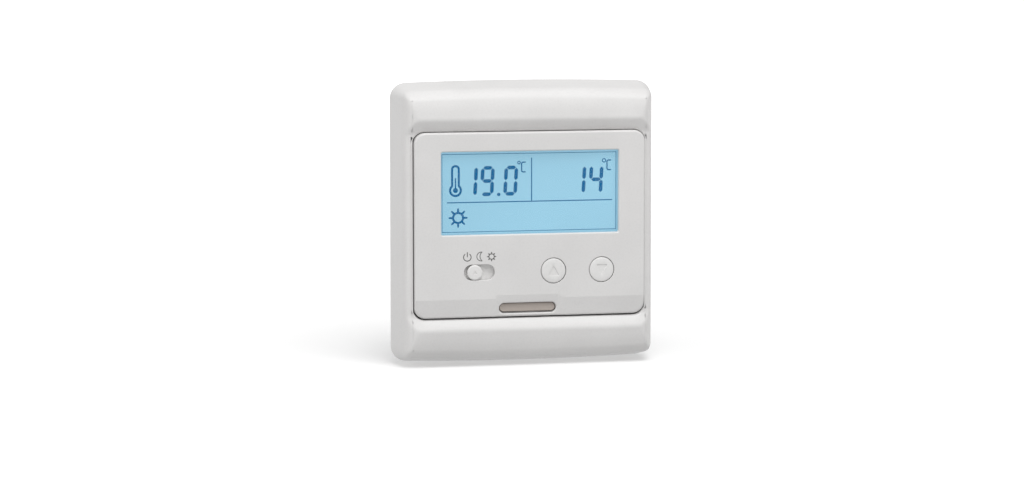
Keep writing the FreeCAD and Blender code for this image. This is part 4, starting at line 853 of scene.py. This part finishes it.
# Each figure with the x and z of its lower left corner, its width and its height
SHOWN_DIGITS = (
    ("1", -21.4, 8.87, 4.4, 10.2),
    ("9", -16.04, 9.22, 4.44, 9.56),
    ("0", -8.43, 9.22, 4.45, 9.56),
    ("1", 14.0, 9.05, 4.3, 9.7),
    ("4", 19.4, 9.05, 4.54, 9.7),
)
FIGURES_RIGHT, FIGURES_UP = 0.20, -0.10
SEGMENT_GAP, PRINT_THICK = 0.14, 0.03


def segment_outline(name, width, height, stroke, gap):
    """The six-sided outline of one segment of a digit whose lower left corner is at the origin."""
    half, middle = stroke / 2, height / 2
    ends = {
        "a": ((half, height - half), (width - half, height - half)),
        "b": ((width - half, middle), (width - half, height - half)),
        "c": ((width - half, half), (width - half, middle)),
        "d": ((half, half), (width - half, half)),
        "e": ((half, half), (half, middle)),
        "f": ((half, middle), (half, height - half)),
        "g": ((half, middle), (width - half, middle)),
    }
    start, end = (Vector(point) for point in ends[name])
    along = (end - start).normalized()
    across = Vector((-along.y, along.x)) * half
    start, end = start + along * gap, end - along * gap
    tip = along * half
    return [start, start + tip + across, end - tip + across, end, end - tip - across, start + tip - across]


def digit(bm, figure, x, z, width, height, stroke, level, slant=0.055):
    """One figure of the display, made of its segments."""
    for name in DIGIT_SEGMENTS[figure]:
        points = segment_outline(name, width, height, stroke, SEGMENT_GAP)
        plate_of(bm, [(x + p.x + slant * (p.y - height / 2), z + p.y) for p in points], level, PRINT_THICK)


def ink_sun(bm, x, z, ring, inner, outer, stroke, level, rays=8):
    """A sun: a ring and tapered rays."""
    wire_line(bm, arc_points(x, z, ring, 0, 337.5, 15), stroke, level, closed=True)
    for ray in range(rays):
        angle = 2 * math.pi * ray / rays
        out = Vector((math.cos(angle), math.sin(angle)))
        side = Vector((-out.y, out.x)) * stroke * 0.55
        points = [out * outer + side * 0.6, out * inner + side, out * inner - side, out * outer - side * 0.6]
        plate_of(bm, [(x + p.x, z + p.y) for p in points], level, PRINT_THICK)


def degree_c(bm, x, z, ring, height, stroke, level):
    """A small ring and a C for degrees, with the ring's centre at x and z."""
    wire_line(bm, arc_points(x, z, ring, 0, 330, 11), stroke * 0.8, level, closed=True)
    left, top, foot = x + ring + height * 0.14, z + 0.1, z + 0.1 - height
    corner = height * 0.16
    points = [(left + height * 0.42, top)]
    points += arc_points(left + corner, top - corner, corner, 90, 180, 5)
    points += arc_points(left + corner, foot + corner, corner, 180, 270, 5)
    points += [(left + height * 0.42, foot)]
    wire_line(bm, points, stroke, level)


class THERMOSTAT_OT_display(bpy.types.Operator):
    """Builds the display: clear window, lit glass, figures, symbols and border lines"""

    bl_idname = "thermostat.display"
    bl_label = "Display"

    def execute(self, context):
        self.panes()
        self.figures()
        return {"FINISHED"}

    def panes(self):
        """The clear window and the lit glass behind it."""
        window = ("window", "clear_window", "display_window")
        glass = ("display", "display_glass", "lcd_front_glass")
        for name, low, high, rounding, behind, (look, slot, node) in (
            ("window_pane", LENS_LOW, LENS_HIGH, 0.12, 0.08, window),
            ("display_front", GLASS_LOW, GLASS_HIGH, 0.08, 0.0, glass),
        ):
            bm = bmesh.new()
            block(bm, low, (high.x, high.y - behind, high.z), rounding)
            finish_piece(bm, name, "front", finish(look), [node])

    def figures(self):
        """Figures, symbols and lines on the lit glass."""
        level = -GLASS_LOW.y
        stroke = sizes().digit_stroke / MM
        right, up = FIGURES_RIGHT, FIGURES_UP
        bm = bmesh.new()
        for figure, x, z, width, height in SHOWN_DIGITS:
            digit(bm, figure, x + right, z + up, width, height, stroke, level)
        plate_of(bm, moved(circle(0.55, 16), -10.12 + right, 9.66 + up), level, PRINT_THICK)
        degree_c(bm, -3.51 + right, 19.71 + up, 0.42, 3.1, 0.40, level)
        degree_c(bm, 24.32 + right, 19.94 + up, 0.56, 3.1, 0.40, level)
        self.thermometer(bm, -24.1 + right, up, level)
        ink_sun(bm, -23.28 + right, 2.41 + up, 1.62, 1.75, 3.05, 0.68, level)
        for start, end in (
            ((0.59, 7.3), (0.59, 21.2)), ((-26.84, 7.28), (26.98, 7.28)),
        ):
            line = [(start[0] + right, start[1] + up), (end[0] + right, end[1] + up)]
            wire_line(bm, line, 0.34, level)
        border = [(-28.45, -2.15), (28.25, -2.15), (28.25, 22.65), (-28.45, 22.65)]
        wire_line(bm, moved(border, right, up), 0.27, level, closed=True)
        finish_piece(bm, "display_figures", "front", finish("segment"), weighted=False)

    def thermometer(self, bm, x, up, level):
        """The thermometer symbol: a tube with a bulb, and the column inside it."""
        bulb_z, top_z = 11.17 + up, 17.85 + up
        tube, bulb = 1.08, 1.75
        joint = math.degrees(math.asin(tube / bulb))
        points = arc_points(x, top_z, tube, 0, 180, 12)
        points += arc_points(x, bulb_z, bulb, 90 + joint, 450 - joint, 24)
        wire_line(bm, points, 0.70, level, closed=True)
        wire_line(bm, [(x, bulb_z), (x, bulb_z + 3.9)], 0.42, level)
        plate_of(bm, moved(circle(0.80, 20), x, bulb_z), level, PRINT_THICK)


# Printed symbols

OFF_X, MOON_X, SUN_X = -20.6, -16.1, -12.75
INK_THICK = 0.03

class THERMOSTAT_OT_symbols(bpy.types.Operator):
    """Prints the off, moon and sun symbols over the slider"""

    bl_idname = "thermostat.symbols"
    bl_label = "Printed Symbols"

    def execute(self, context):
        level = -COVER_LOW.y
        stroke = sizes().icon_stroke / MM
        bm = bmesh.new()
        wire_line(bm, arc_points(OFF_X, -10.05, 1.22, 125, 415, 24), stroke, level, flat=INK_THICK)
        wire_line(bm, [(OFF_X, -10.0), (OFF_X, -8.45)], stroke, level, flat=INK_THICK)
        moon = arc_points(MOON_X, -9.9, 1.42, 82, 278, 20)
        moon += arc_points(MOON_X + 1.35, -9.9, 1.75, 233, 127, 14)
        wire_line(bm, moon, stroke * 0.8, level, closed=True, flat=INK_THICK)
        ring = arc_points(SUN_X, -10.0, 0.86, 0, 330, 11)
        wire_line(bm, ring, stroke * 0.9, level, closed=True, flat=INK_THICK)
        for ray in range(8):
            angle = math.pi / 4 * ray
            out = Vector((math.cos(angle), math.sin(angle)))
            side = Vector((-out.y, out.x)) * 0.28
            points = [out * 1.6, out * 1.0 + side, out * 1.0 - side]
            plate_of(bm, [(SUN_X + p.x, -10.0 + p.y) for p in points], level, INK_THICK / 2)
        finish_piece(bm, "printed_symbols", "front", finish("ink"), weighted=False)
        return {"FINISHED"}


# Buttons, slider and latch

def triangle(size, points_up, grow=0.0, corner=0.25, arc=4):
    """A triangle with rounded corners, pointing up or down."""
    half, rise = size / 2, size * 0.43
    sign = 1.0 if points_up else -1.0
    tips = [Vector((0.0, rise)), Vector((-half, -rise)), Vector((half, -rise))]
    centre = Vector((0.0, -rise / 3))
    points = []
    for index, tip in enumerate(tips):
        before, after = tips[index - 1], tips[(index + 1) % 3]
        inward = (centre - tip).normalized()
        middle = tip + inward * corner * 2
        first = math.atan2(*((tip - before).normalized().yx)) - math.pi / 2
        last = math.atan2(*((after - tip).normalized().yx)) - math.pi / 2
        while last < first:
            last += 2 * math.pi
        for step in range(arc + 1):
            angle = first + (last - first) * step / arc
            radius = corner + grow
            points.append((middle.x + radius * math.cos(angle), sign * (middle.y + radius * math.sin(angle))))
    if not points_up:
        points.reverse()
    return points


class THERMOSTAT_OT_buttons(bpy.types.Operator):
    """Builds the two round buttons with their sunk arrows"""

    bl_idname = "thermostat.buttons"
    bl_label = "Buttons"

    def execute(self, context):
        self.button("up_button", "up_key", True)
        self.button("down_button", "down_key", False)
        return {"FINISHED"}

    def button(self, node, body, points_up):
        """One button: stem, flange, rounded rim, flat crown and arrow."""
        s = sizes()
        low, high = box_mm(node)
        x, z = (low.x + high.x) / 2, (low.z + high.z) / 2
        radius, crown = s.button_size / MM / 2, -low.y
        arrow = s.arrow_size / MM
        bm = bmesh.new()
        stem, stem_end, flange = 1.75, -high.y, high.x - x
        flange_rear, flange_front = 12.2, 13.0
        rows = [(stem, stem_end), (stem, flange_rear), (flange, flange_rear)]
        rows += [(flange, flange_front), (radius, flange_front)]
        rows += [(radius - inset, crown - 0.12 - drop) for inset, drop in reversed(quarter(0.55, 6))]
        rows += [(radius - 0.9, crown - 0.04), (radius - 1.3, crown)]
        sections = [at_level(circle(ring, 56), level, x, z) for ring, level in rows]
        rings = sweep(bm, sections)
        pit = []
        for grow, level in ((0.14, crown), (0.05, crown - 0.05), (0.0, crown - 0.24)):
            pit.append(at_level(triangle(arrow, points_up, grow), level, x, z))
        mark = sweep(bm, pit)
        fill(bm, [rings[-1], mark[0]])
        fill(bm, [mark[-1]])
        fill(bm, [rings[0]])
        finish_piece(bm, node.replace("button", "key"), body, finish("keys"), [node])


class THERMOSTAT_OT_slider(bpy.types.Operator):
    """Builds the slider's round knob and the plate that closes its slot"""

    bl_idname = "thermostat.slider"
    bl_label = "Mode Slider"

    def execute(self, context):
        low, high = box_mm("slider_knob")
        x, z = (low.x + high.x) / 2, (low.z + high.z) / 2
        bm = bmesh.new()
        block(bm, (low.x, -13.0, low.z), (high.x, high.y, high.z), 0.12)
        radius, plate_front, mark_size = 2.45, 12.8, 1.35
        rows = [(radius, plate_front)]
        rows += [(radius - inset, -low.y - drop) for inset, drop in reversed(quarter(0.5, 6))]
        rings = sweep(bm, [at_level(circle(ring, 48), level, x, z) for ring, level in rows])
        mark = sweep(bm, [
            at_level(triangle(mark_size, True, 0.06, 0.12), -low.y, x, z),
            at_level(triangle(mark_size, True, 0.0, 0.12), -low.y - 0.2, x, z),
        ])
        fill(bm, [rings[-1], mark[0]])
        fill(bm, [mark[-1]])
        fill(bm, [rings[0]])
        finish_piece(bm, "mode_knob", "slider", finish("keys"), ["slider_knob"])
        return {"FINISHED"}


class THERMOSTAT_OT_latch(bpy.types.Operator):
    """Builds the release latch: tongue, plate and leg"""

    bl_idname = "thermostat.latch"
    bl_label = "Release Latch"

    def execute(self, context):
        low, high = box_mm("release_latch")
        x = (low.x + high.x) / 2
        bm = bmesh.new()
        block(bm, (low.x, -11.9, low.z), (high.x, -11.0, -24.33), 0.12)
        block(bm, (x - 4.0, -11.4, -27.2), (x + 4.0, high.y, -26.2), 0.12)
        half_w, half_h, middle = 9.05, 1.3, -26.68
        sections = [at_level(outline(half_w, half_h, half_h - 0.001, arc=8, runs=(12, 1)), 11.6, x, middle)]
        for inset, drop in reversed(quarter(0.2, 3)):
            ring = outline(half_w - inset, half_h - inset, half_h - 0.001 - inset, arc=8, runs=(12, 1))
            sections.append(at_level(ring, -low.y - drop, x, middle))
        rings = sweep(bm, sections)
        fill(bm, [rings[0]])
        fill(bm, [rings[-1]])
        finish_piece(bm, "latch_tongue", "latch", finish("latch"), ["release_latch"])
        return {"FINISHED"}


# Housing

PANEL_MARGIN, PANEL_DEPTH, PANEL_SLOPE = 2.6, 0.6, 0.25
PIN_MARKS = ((-13.5, 15.5), (13.5, 15.5), (-17.0, 1.0), (17.0, 1.0), (0.0, 8.0))


def whole_faces(name):
    """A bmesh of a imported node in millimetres, with its triangles joined into whole faces."""
    node = NODES[name]
    bm = bmesh.new()
    bm.from_mesh(node.data)
    bmesh.ops.transform(bm, matrix=node.matrix_world, verts=bm.verts)
    bmesh.ops.scale(bm, vec=(1 / MM, 1 / MM, 1 / MM), verts=bm.verts)
    bmesh.ops.remove_doubles(bm, verts=bm.verts, dist=0.001)
    bmesh.ops.dissolve_limit(
        bm, angle_limit=math.radians(0.5), use_dissolve_boundaries=False, verts=bm.verts, edges=bm.edges,
        delimit=set(),
    )
    return bm


def raised_figure(bm, figure, x, level, z, height, rise):
    """A moulded figure on a face that looks to the rear."""
    data = bpy.data.curves.new("figure", "FONT")
    data.body = figure
    data.size = height
    data.extrude = rise / 2
    data.offset = 0.04
    data.align_x = "CENTER"
    data.resolution_u = 4
    drawn = bpy.data.objects.new("figure", data)
    mesh = bpy.data.meshes.new_from_object(drawn)
    facing = Matrix((
        (-1.0, 0.0, 0.0, x), (0.0, 0.0, 1.0, level + rise / 2), (0.0, 1.0, 0.0, z), (0.0, 0.0, 0.0, 1.0),
    ))
    mesh.transform(facing)
    bm.from_mesh(mesh)
    bpy.data.objects.remove(drawn)
    bpy.data.curves.remove(data)
    bpy.data.meshes.remove(mesh)


class THERMOSTAT_OT_housing(bpy.types.Operator):
    """Builds the housing with a recessed rear panel, and numbers over its terminals"""

    bl_idname = "thermostat.housing"
    bl_label = "Housing"

    def execute(self, context):
        bm = whole_faces("base_housing")
        rear = max(vertex.co.y for vertex in bm.verts)
        panel = [face for face in bm.faces if all(vertex.co.y > rear - 0.01 for vertex in face.verts)]
        if not panel:
            raise RuntimeError("the housing has no rear face")
        step = min(vertex.co.z for face in panel for vertex in face.verts)
        for inset, depth in ((PANEL_MARGIN, 0.0), (PANEL_SLOPE, -PANEL_DEPTH)):
            bmesh.ops.inset_region(
                bm, faces=panel, thickness=inset, depth=depth, use_even_offset=True, use_boundary=True,
            )
        shell = finish_piece(
            bm, "housing_shell", "base", finish("housing"), ["base_housing"],
            weighted=False,
        )
        soften(shell, 0.3, 40)
        self.numbers(rear - PANEL_DEPTH, step)
        return {"FINISHED"}

    def numbers(self, level, step):
        """A raised number over each terminal screw, and the marks of the ejector pins."""
        low, high = box_mm("terminal_screws")
        radius = (high.z - low.z) / 2
        first, last = low.x + radius, high.x - radius
        bm = bmesh.new()
        for place in range(6):
            x = last + (first - last) * place / 5
            raised_figure(bm, str(place + 1), x, level - 0.05, step + 3.7, 3.8, 0.55)
        for x, z in PIN_MARKS:
            self.pin_mark(bm, x, level, z)
        finish_piece(bm, "housing_marks", "base", finish("housing"), weighted=False)

    def pin_mark(self, bm, x, level, z):
        """A low round rim that an ejector pin leaves."""
        foot = level - 0.05
        profile = [(1.35, foot), (1.45, level + 0.20), (1.75, level + 0.22), (1.85, foot), (1.35, foot)]
        turned(bm, [(radius, -y) for radius, y in profile], x, z, 32)


# Details of the control board

LEGS_PER_SIDE, LEG_PITCH, LEG_WIDTH, LEG_THICK = 8, 0.8, 0.3, 0.13


def gull_leg(bm, chip_low, chip_high, side, along):
    """A flat leg that leaves one side of the chip, bends down and stands on the board."""
    board, thick = chip_high.y, LEG_THICK
    shoulder = (chip_low.y + chip_high.y) / 2
    profile = [
        (-0.1, shoulder - thick), (0.38, shoulder - thick),
        (0.55, board - thick - 0.02), (1.0, board - thick - 0.02),
        (1.0, board - 0.02), (0.45, board - 0.02), (0.28, shoulder), (-0.1, shoulder),
    ]
    middle = (chip_low + chip_high) / 2
    half = (chip_high.x - chip_low.x) / 2
    face = bm.faces.new([bm.verts.new((half + out, y, along - LEG_WIDTH / 2)) for out, y in profile])
    made = bmesh.ops.extrude_face_region(bm, geom=[face])["geom"]
    lifted = [item for item in made if isinstance(item, bmesh.types.BMVert)]
    bmesh.ops.translate(bm, vec=(0.0, 0.0, LEG_WIDTH), verts=lifted)
    leg = list(set(lifted) | set(face.verts))
    place = Matrix.Translation((middle.x, 0.0, middle.z)) @ Matrix.Rotation(math.radians(90 * side), 4, "Y")
    bmesh.ops.transform(bm, matrix=place, verts=leg)


class THERMOSTAT_OT_board_details(bpy.types.Operator):
    """Builds the chip's legs and mark and the soldered ends of the small components"""

    bl_idname = "thermostat.board_details"
    bl_label = "Board Details"

    def execute(self, context):
        low, high = box_mm("microcontroller")
        bm = bmesh.new()
        for side in range(4):
            for leg in range(LEGS_PER_SIDE):
                gull_leg(bm, low, high, side, (leg - (LEGS_PER_SIDE - 1) / 2) * LEG_PITCH)
        finish_piece(bm, "chip_legs", "front", finish("steel"), weighted=False)
        bm = bmesh.new()
        top, foot = -low.y + 0.02, -low.y - 0.02
        turned(bm, [(0.0, top), (0.42, top), (0.45, foot), (0.0, foot)], low.x + 1.2, high.z - 1.2, 24)
        finish_piece(bm, "chip_mark", "front", finish("shell"), weighted=False)
        low, high = box_mm("board_components")
        bm = bmesh.new()
        for column in range(4):
            for z in (low.z + 0.4, high.z - 0.4):
                left = low.x + column * (high.x - low.x - 1.6) / 3
                for start in (left - 0.03, left + 1.28):
                    block(bm, (start, low.y - 0.03, z - 0.43), (start + 0.35, high.y - 0.01, z + 0.43), 0.05)
        finish_piece(bm, "component_ends", "front", finish("can"), weighted=False)
        return {"FINISHED"}


# Inner parts and base

NODE_FINISHES = {
    "shell": ["lcd_holder", "front_backplate"],
    "display": ["lcd_rear_glass"],
    "frosted": ["light_guide"],
    "resin": ["backlight_leds"],
    "rubber": ["elastomer_connector"],
    "board": ["control_board", "power_board"],
    "black": [
        "microcontroller", "air_sensor", "board_components", "up_switch_body", "down_switch_body",
        "up_switch_plunger", "down_switch_plunger", "slide_switch_actuator", "header_body", "base_socket",
        "bridge_rectifier",
    ],
    "can": ["crystal", "backup_capacitor", "slide_switch_body"],
    "steel": ["backplate_screws", "base_screws", "terminal_screws"],
    "brass": ["header_pins", "terminal_clamps"],
    "zinc": ["mounting_plate"],
    "housing": ["base_cover"],
    "terminal": ["terminal_block"],
    "relay": ["relay"],
    "film": ["film_capacitor"],
    "sleeve": ["large_capacitor", "small_capacitor"],
    "lacquer": ["varistor"],
    "ceramic": ["fuse"],
}
SMALL_NODES = {
    "header_pins", "board_components", "terminal_clamps", "terminal_screws", "backplate_screws",
    "base_screws", "lcd_rear_glass", "crystal",
}


class THERMOSTAT_OT_inner_parts(bpy.types.Operator):
    """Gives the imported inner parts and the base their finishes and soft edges"""

    bl_idname = "thermostat.inner_parts"
    bl_label = "Inner Parts and Base"

    def execute(self, context):
        for look, names in NODE_FINISHES.items():
            for name in names:
                dress(name, finish(look), 0.05 if name in SMALL_NODES else 0.15)
        return {"FINISHED"}


# Stage

class THERMOSTAT_OT_stage(bpy.types.Operator):
    """Sets the floor, the lights and the camera"""

    bl_idname = "thermostat.stage"
    bl_label = "Stage"

    def execute(self, context):
        self.floor()
        self.lights(context.scene)
        self.camera(context.scene)
        context.scene.view_settings.view_transform = "Standard"
        return {"FINISHED"}

    def floor(self):
        """A round pale floor under the frame's lower edge, lit partly by painted light: it glows weakly near
        the thermostat and more strongly further off, so the far floor looks white.
        """
        bm = bmesh.new()
        bmesh.ops.create_circle(bm, cap_ends=True, segments=96, radius=9.0)
        bmesh.ops.translate(bm, vec=(0.0, 0.0, CAD_BOX[0].z - 0.0002), verts=bm.verts)
        mesh = bpy.data.meshes.new("floor")
        bm.to_mesh(mesh)
        bm.free()
        ground = bpy.data.objects.new("floor", mesh)
        bpy.context.scene.collection.objects.link(ground)
        material, nodes, links, shader = tree("pale_floor")
        vector = object_place(nodes, links)
        cloud = noise(nodes, links, vector, 4.0, 2.0)
        tones = ramp(nodes, links, cloud, [(0.3, (0.80,) * 3), (0.7, (0.83,) * 3)])
        links.new(tones, shader.inputs["Base Color"])
        shader.inputs["Roughness"].default_value = 0.75
        shader.inputs["Specular IOR Level"].default_value = 0.1
        # Painted light: the floor's glow grows with distance from the thermostat, standing in for lamp light
        # that falls off far away. Near the thermostat the glow stays low, so the real shadows there show.
        reach = add_node(nodes, "ShaderNodeVectorMath", operation="LENGTH")
        links.new(vector, reach.inputs[0])
        glow = add_node(nodes, "ShaderNodeMapRange", {
            "From Min": 0.10, "From Max": 0.75, "To Min": 0.22, "To Max": 0.80,
        })
        links.new(reach.outputs["Value"], glow.inputs["Value"])
        links.new(glow.outputs["Result"], shader.inputs["Emission Strength"])
        shader.inputs["Emission Color"].default_value = (1.0, 1.0, 1.0, 1.0)
        mesh.materials.append(material)
        ground.visible_diffuse = False

    def lights(self, scene):
        """A pale sky and soft lamps, the strongest above the front."""
        world = bpy.data.worlds.new("pale_sky")
        world.use_nodes = True
        sky = world.node_tree.nodes["Background"]
        sky.inputs["Color"].default_value = (1.0, 1.0, 1.0, 1.0)
        sky.inputs["Strength"].default_value = 0.59
        scene.world = world
        for name, place, size, power in (
            ("top_lamp", (0.12, -0.72, 1.08), 0.9, 10.2),
            ("left_lamp", (-1.4, -0.35, 0.5), 0.8, 3.6),
        ):
            data = bpy.data.lights.new(name, "AREA")
            data.shape = "SQUARE"
            data.size = size
            data.energy = power
            lamp = bpy.data.objects.new(name, data)
            lamp.location = place
            lamp.rotation_euler = (-Vector(place)).to_track_quat("-Z", "Y").to_euler()
            scene.collection.objects.link(lamp)

    def camera(self, scene):
        """The camera, a little to the left and above, with a long lens."""
        data = bpy.data.cameras.new("camera")
        data.sensor_width = 36.0
        data.lens = 102.628125
        data.shift_x = -0.01406
        data.shift_y = -0.02705
        data.clip_start, data.clip_end = 0.01, 60.0
        eye = bpy.data.objects.new("camera", data)
        azimuth, elevation = math.radians(-12.07), math.radians(5.91)
        target, distance = Vector((0.0, -0.008, 0.0)), 0.936
        away = Vector((
            math.sin(azimuth) * math.cos(elevation),
            -math.cos(azimuth) * math.cos(elevation),
            math.sin(elevation),
        ))
        eye.location = target + distance * away
        eye.rotation_euler = (-away).to_track_quat("-Z", "Y").to_euler()
        scene.collection.objects.link(eye)
        scene.camera = eye


# Panel and registration

STEPS = (
    THERMOSTAT_OT_outer_frame,
    THERMOSTAT_OT_front_cover,
    THERMOSTAT_OT_display,
    THERMOSTAT_OT_symbols,
    THERMOSTAT_OT_buttons,
    THERMOSTAT_OT_slider,
    THERMOSTAT_OT_latch,
    THERMOSTAT_OT_housing,
    THERMOSTAT_OT_board_details,
    THERMOSTAT_OT_inner_parts,
    THERMOSTAT_OT_stage,
)


class THERMOSTAT_PT_panel(bpy.types.Panel):
    """Lists the sizes, the colours and the steps that build the thermostat"""

    bl_idname = "THERMOSTAT_PT_panel"
    bl_label = "Wall Thermostat"
    bl_space_type = "VIEW_3D"
    bl_region_type = "UI"
    bl_category = "Thermostat"

    def draw(self, context):
        for group in (context.scene.thermostat_sizes, context.scene.thermostat_colours):
            column = self.layout.column(align=True)
            for name in group.bl_rna.properties.keys():
                if name not in ("rna_type", "name"):
                    column.prop(group, name)
        column = self.layout.column(align=True)
        for step in STEPS:
            column.operator(step.bl_idname)


CLASSES = (ThermostatSizes, ThermostatColours, *STEPS, THERMOSTAT_PT_panel)


def register():
    """Registers the classes and the scene's sizes and colours."""
    for item in CLASSES:
        bpy.utils.register_class(item)
    bpy.types.Scene.thermostat_sizes = PointerProperty(type=ThermostatSizes)
    bpy.types.Scene.thermostat_colours = PointerProperty(type=ThermostatColours)


def unregister():
    """Takes the classes and the scene's sizes and colours away again."""
    del bpy.types.Scene.thermostat_colours
    del bpy.types.Scene.thermostat_sizes
    for item in reversed(CLASSES):
        bpy.utils.unregister_class(item)


def main():
    """Registers the add-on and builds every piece."""
    register()
    bpy.ops.thermostat.outer_frame()
    bpy.ops.thermostat.front_cover()
    bpy.ops.thermostat.display()
    bpy.ops.thermostat.symbols()
    bpy.ops.thermostat.buttons()
    bpy.ops.thermostat.slider()
    bpy.ops.thermostat.latch()
    bpy.ops.thermostat.housing()
    bpy.ops.thermostat.board_details()
    bpy.ops.thermostat.inner_parts()
    bpy.ops.thermostat.stage()


if __name__ == "__main__":
    main()
